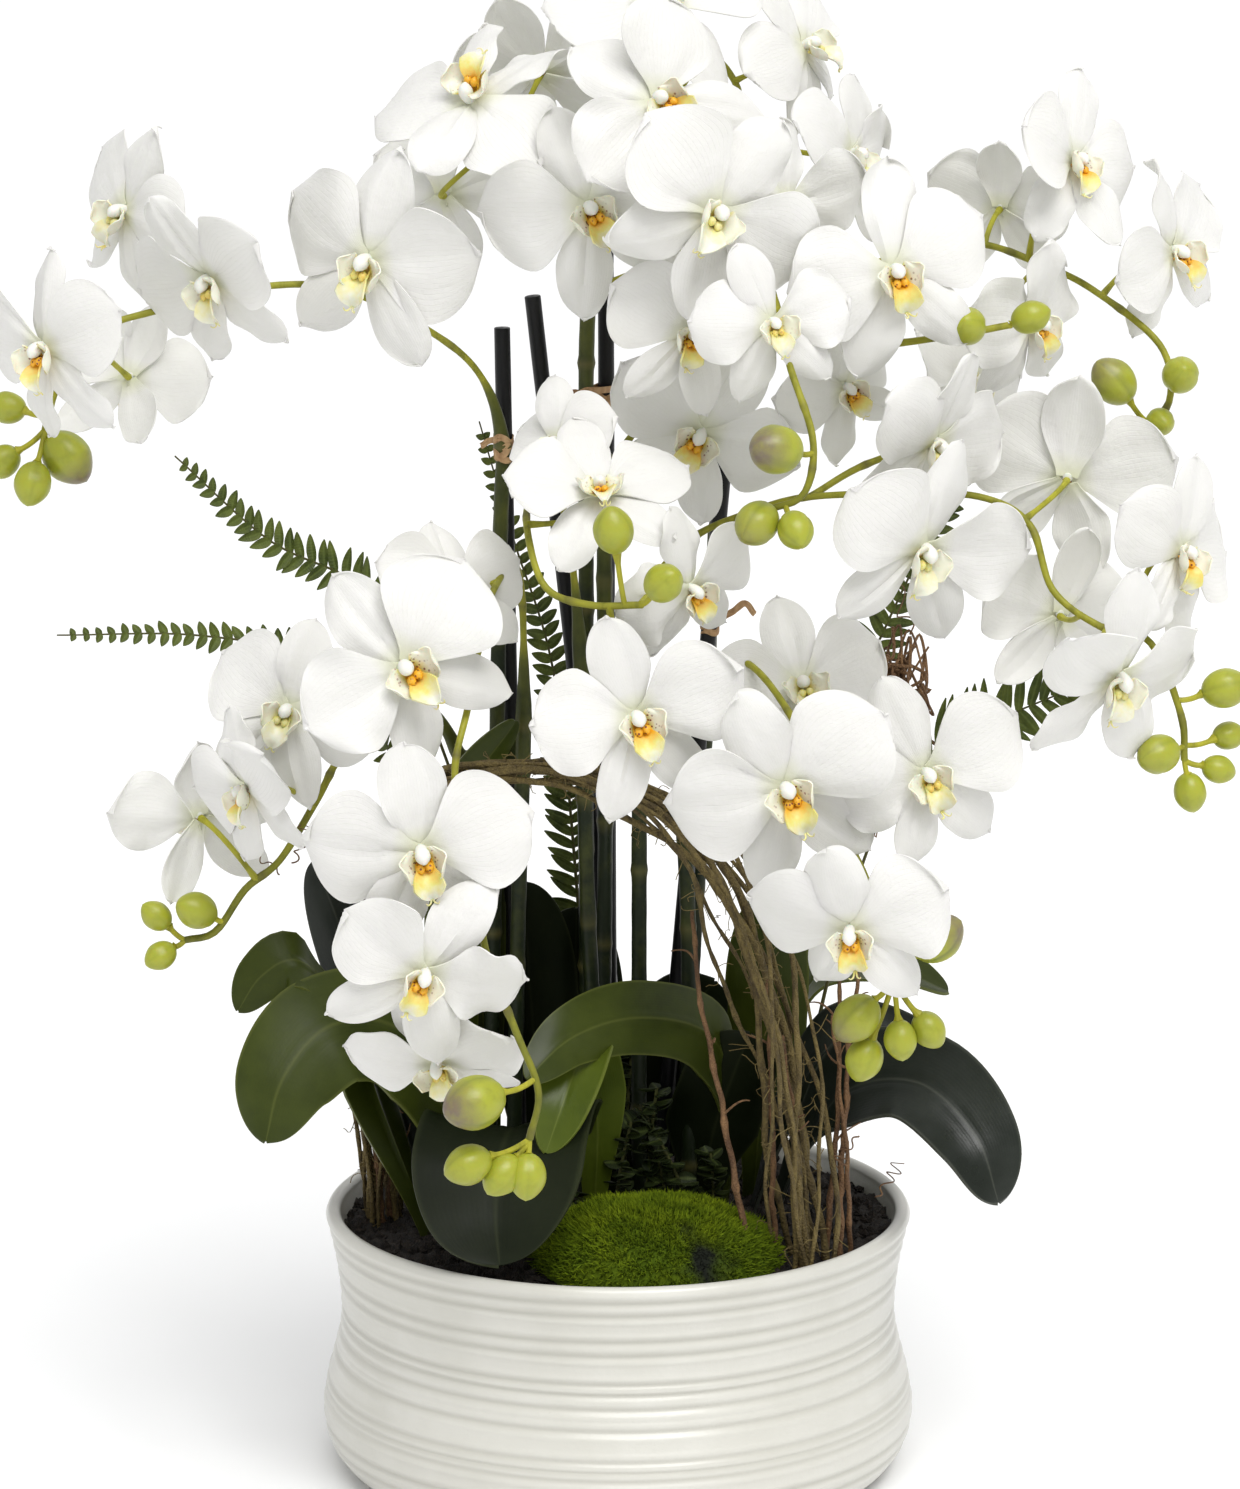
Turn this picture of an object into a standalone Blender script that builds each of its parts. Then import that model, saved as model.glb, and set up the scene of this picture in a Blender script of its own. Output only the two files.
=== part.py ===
"""A potted moth orchid arrangement: low turned bowl, soil, moss, stakes, leaves, fern fronds and sprays.

Metres, +Z up. The origin is the centre of the pot's flat underside, and the front faces -Y.
Everything that grows is placed from the middle of the soil surface, in millimetres.
"""

import math

import bmesh
import bpy
from mathutils import Matrix, Vector

MM = 0.001

# Pot
POT_RADIUS = 0.140
POT_HEIGHT = 0.128
POT_WALL = 0.007
POT_FLOOR = 0.009
WAIST_INSET = 0.008
WAIST_HEIGHT = 0.078
BELLY_OUTSET = 0.001
BELLY_HEIGHT = 0.030
FOOT_RADIUS = 0.118
POT_SEGMENTS = 40
INNER_FOOT_SHARE = 0.35
WALL_STEPS = 6
INNER_STEPS = 3

# Soil and moss
SOIL_DROP = 0.010
TOUCH_GAP = 0.0003
MOSS_HALF_LENGTH = 0.056
MOSS_HALF_DEPTH = 0.046
MOSS_HEIGHT = 0.035
MOSS_CUT_SHARE = 0.12
MOSS_CENTRE = Vector((0.017, -0.078, 0.0))

# Stakes
STAKE_RADIUS = 0.0038
STAKE_DEPTH = 0.070
STAKE_CLEARANCE = 0.0003
STAKE_SIDES = 12
MOST_STAKE_DEPTH_SHARE = 0.6
TIE_RADIUS = 0.0013
TIE_CLEARANCE = 0.0005

# Stems, flowers and buds
STEM_RADIUS = 0.0036
TWIG_RADIUS = 0.0016
STALK_RADIUS = 0.0013
BLOOM_SPAN = 0.095
PETAL_THICKNESS = 0.0016
PETAL_LIFT = 0.004
# A tepal: the angle of its middle, half the angle that it spans, and its length as a share of BLOOM_SPAN.
TEPALS = ((90, 30, 0.49), (15, 45, 0.50), (165, 45, 0.50), (-60, 30, 0.47), (-120, 30, 0.47))
TEPAL_BLUNTNESS = 0.45
HEART_REACH = 0.17
BLOOM_SIDES = 24
JOINED_BLOOM_SIDES = 12
LIP_BASE_RADIUS = 0.07 * BLOOM_SPAN
LIP_TIP_RADIUS = 0.04 * BLOOM_SPAN
LIP_LENGTH = 0.22 * BLOOM_SPAN
LIP_DROP = 0.11 * BLOOM_SPAN
LIP_STANDOUT = 0.105 * BLOOM_SPAN
LIP_TILT = 20
BUD_STRETCH = 1.22
STALK_REACH_BACK = 0.020
STALK_BEND = 0.022
STALK_NECK = 0.004
STALK_LOWEST = 0.060
STEM_TAPER_LENGTH = 0.030
FOOT_RISE = 0.008

# Leaves, fronds and vines
LEAF_THICKNESS = 0.0016
LEAF_FOLD = 0.18
LEAF_BROADEST = 0.62
LEAST_LEAF_HALF_WIDTH = 0.0025
FROND_THICKNESS = 0.0014
FROND_SPINE_HALF_WIDTH = 0.0016
FROND_TIP_SHARE = 0.3
VINE_RADIUS = 0.0075
VINE_TWIG_RADIUS = 0.0036

RIM_INNER_RADIUS = POT_RADIUS - POT_WALL
SOIL_TOP = POT_HEIGHT - SOIL_DROP
# Leaves and vines spread with the bowl: their places below are for an inner rim radius of 133 mm.
SPREAD = RIM_INNER_RADIUS / 0.133

FINISHES = {
    "glazed_ceramic": ((0.69, 0.68, 0.63), 0.32, 0.0),
    "soil": ((0.025, 0.018, 0.013), 0.95, 0.0),
    "moss": ((0.10, 0.17, 0.02), 0.95, 0.0),
    "stake": ((0.012, 0.012, 0.013), 0.40, 0.0),
    "raffia": ((0.45, 0.29, 0.15), 0.80, 0.0),
    "stem": ((0.25, 0.32, 0.05), 0.45, 0.0),
    "petal": ((0.86, 0.87, 0.88), 0.50, 0.0),
    "leaf": ((0.035, 0.065, 0.018), 0.35, 0.0),
    "fern": ((0.09, 0.16, 0.04), 0.55, 0.0),
    "vine": ((0.16, 0.09, 0.04), 0.85, 0.0),
}

# A spray: its stems' points, its separate blooms, the blooms grown in one with it, and its buds.
# A bloom is (name, centre, azimuth and elevation that it faces, roll, size); azimuth 0 faces the front,
# positive turns to +X, and the size is a percentage of BLOOM_SPAN. A bud is (centre, radius). The first
# stem rises from the soil.
SPRAYS = {
    "left_arch_spray": {
        "stems": [
            [(-62, 4, 0), (-58, 8, 190), (-55, 9, 330), (-54, 8, 376), (-64, 0, 408), (-87, -5, 429),
             (-125, -15, 449), (-157, -20, 452), (-184, -25, 446), (-213, -30, 441), (-236, -35, 433),
             (-254, -40, 411), (-261, -45, 389)],
        ],
        "thick_to": 376,
        "blooms": [
            ("bloom_left_arch_1", (-113, -45, 466), -25, -5, -12, 104),
            ("bloom_left_arch_2", (-183, -62, 460), -38, -22, 18, 92),
            ("bloom_left_arch_3", (-226, -5, 484), -48, 2, -20, 88),
            ("bloom_left_arch_4", (-256, -84, 432), -40, -10, 10, 92),
        ],
        "joined": [((-227, 10, 405), 165, -25, 15, 78)],
        "buds": [((-251, -44, 376), 11), ((-266, -56, 366), 8.5), ((-281, -44, 374), 7.5),
                 ((-279, -36, 398), 7.5)],
    },
    "crown_spray": {
        "stems": [
            [(-15, 24, 0), (-15, 24, 300), (-14, 22, 435), (-6, 20, 480), (-4, 15, 510), (8, 12, 545),
             (21, 6, 560)],
            [(-11, 21, 455), (-20, 25, 480), (-34, 25, 505), (-48, 20, 519)],
            [(-6, 20, 480), (12, 34, 505), (38, 48, 548), (54, 42, 540), (60, 32, 513)],
            [(-12, 21, 445), (20, 16, 458), (46, -30, 475), (68, -82, 458), (76, -112, 428),
             (86, -127, 397), (82, -132, 374), (67, -132, 367)],
        ],
        "thick_to": 435,
        "blooms": [
            ("bloom_crown_1", (-66, -20, 537), -30, 40, 170, 98),
            ("bloom_crown_2", (-13, -48, 490), 10, 5, 25, 98),
            ("bloom_crown_3", (18, -66, 540), 15, 20, 50, 98),
            ("bloom_crown_4", (43, -96, 494), 20, 0, -38, 104),
            ("bloom_crown_5", (18, 2, 578), 0, 40, 18, 104),
        ],
        "joined": [
            ((-36, 50, 542), 165, 25, -15, 88),
            ((86, 28, 556), 60, 25, 25, 84),
            ((107, 12, 508), 55, 5, -15, 86),
            ((68, -112, 447), 20, 0, 12, 74),
        ],
        "buds": [((-31, 4, 515), 5.5), ((69, -146, 396), 11), ((61, -140, 362), 9.5), ((78, -146, 360), 8)],
    },
    "right_spray": {
        "stems": [
            [(30, 32, 0), (40, 30, 200), (46, 27, 330), (60, 40, 400), (86, 60, 435), (130, 54, 456),
             (167, 40, 464), (198, 20, 456), (221, 15, 445), (251, 5, 421), (255, -5, 397),
             (243, -10, 384)],
        ],
        "thick_to": 330,
        "blooms": [
            ("bloom_right_1", (208, -9, 507), 40, 15, -15, 88),
            ("bloom_right_2", (258, 24, 462), 44, 0, 20, 88),
        ],
        "joined": [((190, -22, 436), 55, -15, 15, 84), ((163, 16, 404), 50, -10, -25, 80)],
        "buds": [((228, -14, 407), 10), ((258, -22, 411), 8.5), ((250, -14, 388), 6.5), ((240, -16, 378), 6)],
    },
    "middle_spray": {
        "stems": [
            [(-8, 12, 0), (-6, 12, 200), (-6, 10, 350), (0, -2, 370), (17, -15, 394), (47, -35, 422),
             (85, -50, 436), (118, -55, 430), (154, -60, 435), (176, -60, 439)],
        ],
        "thick_to": 350,
        "blooms": [
            ("bloom_middle_1", (123, -84, 466), 15, 5, 12, 98),
            ("bloom_middle_2", (38, -30, 385), -10, -15, -30, 92),
        ],
        "joined": [((32, -72, 437), 20, -5, -12, 80), ((104, -34, 407), 30, -10, 30, 72)],
        "buds": [((157, -70, 440), 8.5), ((186, -62, 443), 7.5)],
    },
    "mid_right_spray": {
        "stems": [
            [(10, 0, 0), (10, 2, 200), (10, 4, 290), (31, -10, 330), (65, -25, 349), (88, -38, 357),
             (129, -47, 360), (165, -50, 359), (187, -60, 348), (197, -72, 320), (218, -82, 305),
             (240, -88, 299), (254, -95, 267), (256, -95, 246)],
            [(88, -38, 357), (108, -30, 368), (128, -28, 376)],
        ],
        "thick_to": 290,
        "blooms": [
            ("bloom_mid_right_1", (142, -76, 388), 40, -20, -14, 86),
            ("bloom_mid_right_2", (206, -32, 364), 170, 5, 12, 98),
            ("bloom_mid_right_3", (135, -117, 347), 30, -22, -18, 98),
            ("bloom_mid_right_4", (254, -76, 338), 42, 0, -15, 88),
        ],
        "joined": [((202, -50, 304), -165, 5, 10, 84), ((222, -128, 291), 30, -25, -12, 96)],
        "buds": [((274, -94, 279), 9), ((243, -106, 251), 9), ((259, -95, 231), 7.5),
                 ((272, -92, 241), 6.5), ((277, -84, 255), 6.5)],
    },
    "centre_spray": {
        "stems": [
            [(-6, -10, 0), (-14, -6, 150), (-18, -2, 283), (-27, -22, 355), (-40, -82, 361), (-39, -117, 348),
             (-31, -132, 331), (-12, -142, 326), (10, -147, 327)],
        ],
        "thick_to": 283,
        "blooms": [("bloom_centre_1", (8, -150, 277), 12, 0, 18, 98)],
        "joined": [((32, -122, 330), 45, -20, 25, 76), ((-8, -112, 371), 0, 55, 8, 86)],
        "buds": [((-2, -156, 362), 9), ((20, -164, 340), 8.5)],
    },
    "front_left_spray": {
        "stems": [
            [(-50, -12, 0), (-47, -8, 150), (-44, -6, 254), (-46, -24, 320), (-58, -80, 317), (-66, -134, 281),
             (-72, -154, 249), (-62, -168, 207), (-58, -174, 176), (-45, -183, 143), (-35, -188, 117),
             (-39, -188, 95)],
        ],
        "thick_to": 254,
        "blooms": [
            ("bloom_front_left_1", (-93, -152, 300), 5, 5, 42, 104),
            ("bloom_front_left_2", (-86, -182, 224), 8, -10, 12, 102),
            ("bloom_front_left_3", (-85, -193, 172), 4, -18, -26, 92),
        ],
        "joined": [((-80, -156, 122), -10, -40, 15, 84)],
        "buds": [((-63, -204, 116), 12), ((-66, -198, 86), 9), ((-51, -193, 80), 8.5), ((-40, -192, 79), 8.5)],
    },
    "left_spray": {
        "stems": [
            [(-74, 18, 0), (-72, 20, 200), (-76, 16, 226), (-88, 10, 248), (-102, 0, 254), (-126, -40, 239),
             (-138, -58, 220), (-155, -66, 193), (-171, -70, 180), (-185, -70, 160), (-199, -70, 156)],
        ],
        "thick_to": 226,
        "blooms": [],
        "joined": [
            ((-150, -80, 266), -10, 0, -20, 88),
            ((-166, -112, 236), -50, -5, 22, 78),
            ((-192, -62, 212), -150, 5, -10, 84),
        ],
        "buds": [((-193, -78, 172), 8.5), ((-212, -72, 168), 6.5), ((-210, -76, 150), 6.5)],
    },
    "front_right_spray": {
        "stems": [
            [(34, 2, 0), (33, 0, 150), (29, -4, 254), (56, -60, 285), (82, -108, 262), (98, -130, 226),
             (112, -145, 198), (113, -150, 171), (123, -150, 158)],
        ],
        "thick_to": 254,
        "blooms": [
            ("bloom_front_right_1", (74, -156, 246), 10, 0, 22, 104),
            ("bloom_front_right_2", (137, -134, 248), 15, 0, 20, 92),
        ],
        "joined": [((84, -66, 274), 5, 25, 12, 92), ((102, -180, 188), -5, -20, 8, 92)],
        "buds": [((142, -154, 178), 10.5), ((106, -155, 141), 10), ((110, -150, 121), 8.5), ((126, -154, 131), 7.5),
                 ((139, -148, 134), 7.5)],
    },
}

# A leaf: midrib points from the soil, the direction across it, and its greatest width.
LEAVES = {
    "leaf_left_drooping": ([(-70, -12, 0), (-84, -22, 60), (-103, -38, 104), (-133, -60, 112), (-154, -76, 92),
                            (-162, -84, 64)], (0.1, 0.5, 0.85), 56),
    "leaf_left_small": ([(-90, -18, 0), (-112, -24, 60), (-130, -30, 112), (-150, -34, 136), (-166, -36, 130),
                         (-177, -38, 114)], (0.2, 0.5, 0.8), 34),
    "leaf_left_tall": ([(-92, 26, 0), (-108, 26, 60), (-126, 24, 120), (-144, 20, 172)], (0.9, 0.1, 0.3), 30),
    "leaf_front": ([(-34, -24, 0), (-40, -40, 44), (-48, -64, 66), (-54, -90, 60), (-56, -110, 38),
                    (-54, -121, 16)], (1.0, 0.0, 0.1), 80),
    "leaf_centre_arching": ([(50, 14, 0), (54, 4, 54), (42, -24, 98), (10, -54, 115), (-20, -82, 114),
                             (-42, -100, 98)], (0.35, 0.5, 0.75), 34),
    "leaf_centre_hanging": ([(-12, -24, 0), (-10, -36, 60), (-15, -52, 98), (-18, -72, 100), (-25, -88, 84),
                             (-33, -96, 62)], (1.0, 0.1, 0.2), 30),
    "leaf_right_drooping": ([(72, -8, 0), (88, -18, 44), (108, -36, 76), (140, -62, 86), (165, -84, 66),
                             (175, -95, 38)], (0.1, 0.6, 0.8), 46),
    "leaf_right_upper": ([(64, 16, 0), (80, 12, 50), (103, 4, 88), (135, -2, 84), (165, -6, 62)],
                         (0.1, 0.6, 0.8), 38),
    "leaf_right_back": ([(74, 58, 0), (82, 62, 70), (98, 62, 108), (130, 62, 110), (160, 60, 98)],
                        (0.0, 0.9, 0.4), 34),
    "leaf_back_broad": ([(38, 56, 0), (39, 64, 50), (41, 74, 96)], (1.0, 0.0, 0.0), 44),
}

# A frond: rachis points, the direction across it, its leaflet length and the share that stays bare.
FRONDS = {
    "frond_upper_left": ([(-34, 48, 0), (-62, 42, 150), (-95, 32, 255), (-119, 20, 303), (-162, 0, 330),
                          (-204, -20, 373)], (0.3, 0.4, 0.8), 15, 0.60),
    "frond_lower_left": ([(-44, 60, 0), (-78, 52, 130), (-112, 32, 230), (-141, 10, 271), (-195, -10, 287),
                          (-259, -30, 291)], (0.0, 0.4, 0.9), 11, 0.50),
    "frond_behind_stakes": ([(-12, 70, 0), (-18, 68, 120), (-30, 62, 250), (-50, 64, 320), (-66, 66, 376)],
                            (1.0, 0.0, 0.2), 14, 0.20),
    "frond_upper_right": ([(48, 52, 0), (70, 54, 120), (98, 52, 215), (120, 54, 262), (146, 56, 318),
                           (178, 60, 376)], (0.9, 0.1, -0.3), 15, 0.50),
    "frond_right": ([(84, 36, 0), (98, 30, 100), (122, 12, 190), (142, -8, 230), (161, -20, 249),
                     (210, -38, 277)], (-0.3, 0.3, 0.9), 22, 0.60),
}
FROND_TEETH = 11

VINES = {
    "vine_bundle": ([(-112, 6, 0), (-118, 4, 70), (-118, -6, 140), (-102, -36, 200), (-77, -58, 229),
                     (-35, -62, 235), (-8, -66, 229), (26, -72, 212), (53, -77, 176), (75, -77, 105),
                     (89, -70, 0)], VINE_RADIUS),
    "twig_sheaf": ([(103, -64, 0), (105, -66, 70), (110, -70, 140)], VINE_TWIG_RADIUS),
}

# A stake: where it meets the soil and where its top is.
STAKES = {
    "stake_left": ((-47, 22, 0), (-54, 22, 427)),
    "stake_leaning": ((8, 54, 0), (-40, 36, 440)),
    "stake_middle": ((-4, 38, 0), (-6, 38, 526)),
    "stake_right": ((18, 24, 0), (54, 8, 419)),
}

# A tie: the stake and the spray that it holds together, and its height above the soil.
TIES = {
    "tie_left": ("stake_left", "left_arch_spray", 372),
    "tie_middle": ("stake_middle", "crown_spray", 392),
    "tie_right": ("stake_right", "right_spray", 290),
}


def clear_scene():
    for obj in list(bpy.data.objects):
        bpy.data.objects.remove(obj, do_unlink=True)


def new_collection(name):
    collection = bpy.data.collections.new(name)
    bpy.context.scene.collection.children.link(collection)
    return collection


def new_material(name):
    colour, roughness, metallic = FINISHES[name]
    material = bpy.data.materials.new(name)
    material.use_nodes = True
    shader = material.node_tree.nodes["Principled BSDF"]
    shader.inputs["Base Color"].default_value = (*colour, 1.0)
    shader.inputs["Roughness"].default_value = roughness
    shader.inputs["Metallic"].default_value = metallic
    return material


clear_scene()
PARTS = new_collection("potted_orchid")
CUTTERS = new_collection("cutters")
CUTTERS.hide_render = True
MATERIALS = {name: new_material(name) for name in FINISHES}


def above_soil(point):
    """A point given in millimetres from the middle of the soil surface."""
    return Vector((point[0] * MM, point[1] * MM, SOIL_TOP + point[2] * MM))


def spread_with_bowl(point):
    """The same, moved out or in with the bowl's radius."""
    return above_soil((point[0] * SPREAD, point[1] * SPREAD, point[2]))


def new_object(name, mesh, finish, collection=None):
    obj = bpy.data.objects.new(name, mesh)
    if not mesh.materials:
        mesh.materials.append(MATERIALS[finish])
    (collection or PARTS).objects.link(obj)
    return obj


def mesh_from_bmesh(name, sheet):
    mesh = bpy.data.meshes.new(name)
    sheet.to_mesh(mesh)
    sheet.free()
    return mesh


def shade(mesh, angle=40):
    mesh.shade_smooth()
    mesh.set_sharp_from_angle(angle=math.radians(angle))


def evaluated_mesh(obj, name):
    """The object's mesh with its modifiers applied, in world space. The object is removed."""
    bpy.context.view_layer.update()
    graph = bpy.context.evaluated_depsgraph_get()
    mesh = bpy.data.meshes.new_from_object(obj.evaluated_get(graph))
    mesh.transform(obj.matrix_world)
    mesh.name = name
    bpy.data.objects.remove(obj, do_unlink=True)
    return mesh


def add_boolean(obj, other, operation, solver="EXACT"):
    other.hide_render = True
    other.display_type = "WIRE"
    boolean = obj.modifiers.new(operation.lower(), "BOOLEAN")
    boolean.operation = operation
    boolean.solver = solver
    boolean.object = other


def joined_mesh(name, pieces):
    """One mesh from overlapping closed pieces, which are removed.

    Thin stalks that start inside a stem leave doubled edges with the exact solver, so this one joins solids.
    """
    base = pieces[0]
    for piece in pieces[1:]:
        add_boolean(base, piece, "UNION", "MANIFOLD")
    mesh = evaluated_mesh(base, name)
    for piece in pieces[1:]:
        bpy.data.objects.remove(piece, do_unlink=True)
    return mesh


def smooth_path(points, steps):
    """Points on a Catmull-Rom curve through the given points."""
    ends = [2 * points[0] - points[1], *points, 2 * points[-1] - points[-2]]
    path = []
    for before, start, end, after in zip(ends, ends[1:], ends[2:], ends[3:]):
        for step in range(steps):
            t = step / steps
            path.append(
                0.5 * (2 * start + (end - before) * t
                       + (2 * before - 5 * start + 4 * end - after) * t * t
                       + (3 * start - before - 3 * end + after) * t * t * t)
            )
    return [*path, points[-1]]


def footed_path(places, steps):
    """A smooth path whose foot rises straight out of the soil, so that its end stands flat on it."""
    foot = places[0] + Vector((0.0, 0.0, TOUCH_GAP))
    return [foot, *smooth_path([foot + Vector((0.0, 0.0, FOOT_RISE)), *places[1:]], steps)]


def tube(name, path, radii, finish, resolution=1, closed=False):
    """A bevelled curve with filled caps, turned into a welded mesh object."""
    curve = bpy.data.curves.new(name, "CURVE")
    curve.dimensions = "3D"
    curve.bevel_depth = max(radii)
    curve.bevel_resolution = resolution
    curve.use_fill_caps = not closed
    spline = curve.splines.new("POLY")
    spline.points.add(len(path) - 1)
    spline.use_cyclic_u = closed
    for point, place, radius in zip(spline.points, path, radii):
        point.co = (*place, 1.0)
        point.radius = radius / max(radii)
    obj = bpy.data.objects.new(name, curve)
    PARTS.objects.link(obj)
    mesh = evaluated_mesh(obj, name)
    bpy.data.curves.remove(curve)
    welded = bmesh.new()
    welded.from_mesh(mesh)
    bmesh.ops.remove_doubles(welded, verts=welded.verts, dist=1e-5)
    bmesh.ops.recalc_face_normals(welded, faces=welded.faces)
    welded.to_mesh(mesh)
    welded.free()
    shade(mesh)
    return new_object(name, mesh, finish)


def rod(name, start, end, radius, sides, finish, collection=None):
    """A straight cylinder between two points."""
    shape = bmesh.new()
    length = (end - start).length
    bmesh.ops.create_cone(
        shape, cap_ends=True, segments=sides, radius1=radius, radius2=radius, depth=length
    )
    mesh = mesh_from_bmesh(name, shape)
    shade(mesh)
    obj = new_object(name, mesh, finish, collection)
    obj.location = (start + end) / 2
    obj.rotation_euler = (end - start).to_track_quat("Z", "Y").to_euler()
    return obj


def turned(name, profile, finish):
    """A profile of (radius, height) turned about Z. It runs down the outer side, top to bottom."""
    shape = bmesh.new()
    verts = [shape.verts.new((radius, 0.0, height)) for radius, height in profile]
    for first, second in zip(verts, verts[1:]):
        shape.edges.new((first, second))
    obj = new_object(name, mesh_from_bmesh(name, shape), finish)
    screw = obj.modifiers.new("turn", "SCREW")
    screw.axis = "Z"
    screw.steps = POT_SEGMENTS
    screw.render_steps = POT_SEGMENTS
    screw.use_merge_vertices = True
    screw.merge_threshold = 1e-5
    screw.use_smooth_shade = True
    return obj


def eased(share):
    return share * share * (3 - 2 * share)


def wall_radius(height):
    """The bowl's outer radius: flared rim, drawn-in waist, full belly and a foot that rounds in."""
    waist = POT_RADIUS - WAIST_INSET
    belly = POT_RADIUS + BELLY_OUTSET
    if height >= WAIST_HEIGHT:
        share = (height - WAIST_HEIGHT) / (POT_HEIGHT - WAIST_HEIGHT)
        return waist + WAIST_INSET * share ** 1.8
    if height >= BELLY_HEIGHT:
        return waist + (belly - waist) * eased((WAIST_HEIGHT - height) / (WAIST_HEIGHT - BELLY_HEIGHT))
    share = height / BELLY_HEIGHT
    return FOOT_RADIUS + (belly - FOOT_RADIUS) * math.sqrt(1 - (1 - share) ** 2)


def inner_radius(height):
    return wall_radius(max(height, BELLY_HEIGHT * INNER_FOOT_SHARE)) - POT_WALL


def heights(top, bottom, count):
    return [top + (bottom - top) * step / count for step in range(count + 1)]


def inner_profile():
    """The inside of the bowl's wall, floor to lip."""
    return [(inner_radius(z), z) for z in heights(POT_FLOOR, POT_HEIGHT - POT_WALL / 2, INNER_STEPS)]


def inside_at(height):
    """The inner radius of the wall as it is faceted, which the soil fits."""
    profile = inner_profile()
    for (low_radius, low), (high_radius, high) in zip(profile, profile[1:]):
        if height <= high:
            return low_radius + (high_radius - low_radius) * (height - low) / (high - low)
    return profile[-1][0]


def make_pot():
    lip = POT_WALL / 2
    shoulder = POT_HEIGHT - lip
    lip_centre = wall_radius(shoulder) - lip
    rim = [
        (lip_centre - lip * math.cos(math.radians(angle)), shoulder + lip * math.sin(math.radians(angle)))
        for angle in (60, 120)
    ]
    outside = [(wall_radius(z), z) for z in heights(shoulder, BELLY_HEIGHT, WALL_STEPS)]
    foot = [(wall_radius(z), z) for z in (BELLY_HEIGHT * 0.45, 0.0)]
    profile = [(0.0, POT_FLOOR), *inner_profile(), *rim, *outside, *foot, (0.0, 0.0)]
    return turned("pot", profile, "glazed_ceramic")


def make_soil():
    """A fill that stands clear of the bowl by the touch gap, with a hole for each stake."""
    bottom = POT_FLOOR + TOUCH_GAP
    bends = [z for _, z in reversed(inner_profile()) if bottom < z < SOIL_TOP]
    side = [(inside_at(z) - TOUCH_GAP * 2, z) for z in (SOIL_TOP, *bends, bottom)]
    soil = turned("soil", [(0.0, SOIL_TOP), *side, (0.0, bottom)], "soil")
    for name, (foot, top) in STAKES.items():
        start, end = stake_ends(foot, top, STAKE_CLEARANCE)
        bore = STAKE_RADIUS + STAKE_CLEARANCE
        hole = rod(name + "_hole", start, end, bore, STAKE_SIDES, "soil", CUTTERS)
        add_boolean(soil, hole, "DIFFERENCE")
    return soil


def stake_ends(foot, top, extra=0.0):
    """The two ends of a stake, its foot pushed down into the soil."""
    surface = above_soil(foot)
    tip = above_soil(top)
    down = (surface - tip).normalized()
    return surface + down * (min(STAKE_DEPTH, SOIL_TOP * MOST_STAKE_DEPTH_SHARE) + extra), tip


def make_stakes():
    for name, (foot, top) in STAKES.items():
        start, end = stake_ends(foot, top)
        rod(name, start, end, STAKE_RADIUS, STAKE_SIDES, "stake")


def make_moss():
    """A low cushion with a flat underside that rests on the soil."""
    shape = bmesh.new()
    bmesh.ops.create_uvsphere(shape, u_segments=18, v_segments=8, radius=1.0)
    for vert in shape.verts:
        turn = math.atan2(vert.co.y, vert.co.x)
        swell = 1.0 + 0.05 * math.sin(3 * turn + 0.6) + 0.03 * math.sin(5 * turn)
        vert.co.x *= MOSS_HALF_LENGTH * swell
        vert.co.y *= MOSS_HALF_DEPTH * swell
        vert.co.z *= MOSS_HEIGHT
    level = Vector((0.0, 0.0, MOSS_HEIGHT * MOSS_CUT_SHARE))
    cut = bmesh.ops.bisect_plane(
        shape, geom=[*shape.verts, *shape.edges, *shape.faces], plane_co=level,
        plane_no=(0, 0, 1), clear_inner=True,
    )
    edges = [item for item in cut["geom_cut"] if isinstance(item, bmesh.types.BMEdge)]
    bmesh.ops.holes_fill(shape, edges=edges)
    bmesh.ops.recalc_face_normals(shape, faces=shape.faces)
    mesh = mesh_from_bmesh("moss_mound", shape)
    shade(mesh)
    moss = new_object("moss_mound", mesh, "moss")
    moss.location = MOSS_CENTRE * SPREAD + Vector((0.0, 0.0, SOIL_TOP + TOUCH_GAP)) - level
    return moss


def lobe_radius(angle):
    """The flower's outline: a dorsal sepal, two broad petals and two lower sepals."""
    best = HEART_REACH
    for middle, half_width, length in TEPALS:
        off = abs((angle - middle + 180) % 360 - 180)
        if off < half_width:
            best = max(best, length * math.cos(math.pi / 2 * off / half_width) ** TEPAL_BLUNTNESS)
    return best


def make_bloom_sheet(segments):
    """The five tepals as one thin lobed dish that faces +Z."""
    shape = bmesh.new()
    bmesh.ops.create_circle(shape, cap_ends=True, cap_tris=True, segments=segments, radius=1.0)
    step = 360 / segments
    for vert in shape.verts:
        if vert.co.length > 0.5:
            angle = math.degrees(math.atan2(vert.co.y, vert.co.x))
            reach = lobe_radius(round(angle / step) * step)
            vert.co = vert.co.normalized() * reach * BLOOM_SPAN
            vert.co.z = PETAL_LIFT * (reach / 0.5) ** 2
    bmesh.ops.recalc_face_normals(shape, faces=shape.faces)
    if shape.faces[0].normal.z < 0:
        bmesh.ops.reverse_faces(shape, faces=shape.faces)
    sheet = new_object("bloom_sheet", mesh_from_bmesh("bloom_sheet", shape), "petal")
    solidify = sheet.modifiers.new("thickness", "SOLIDIFY")
    solidify.thickness = PETAL_THICKNESS
    solidify.offset = -1.0
    return evaluated_mesh(sheet, "bloom_sheet")


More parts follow.
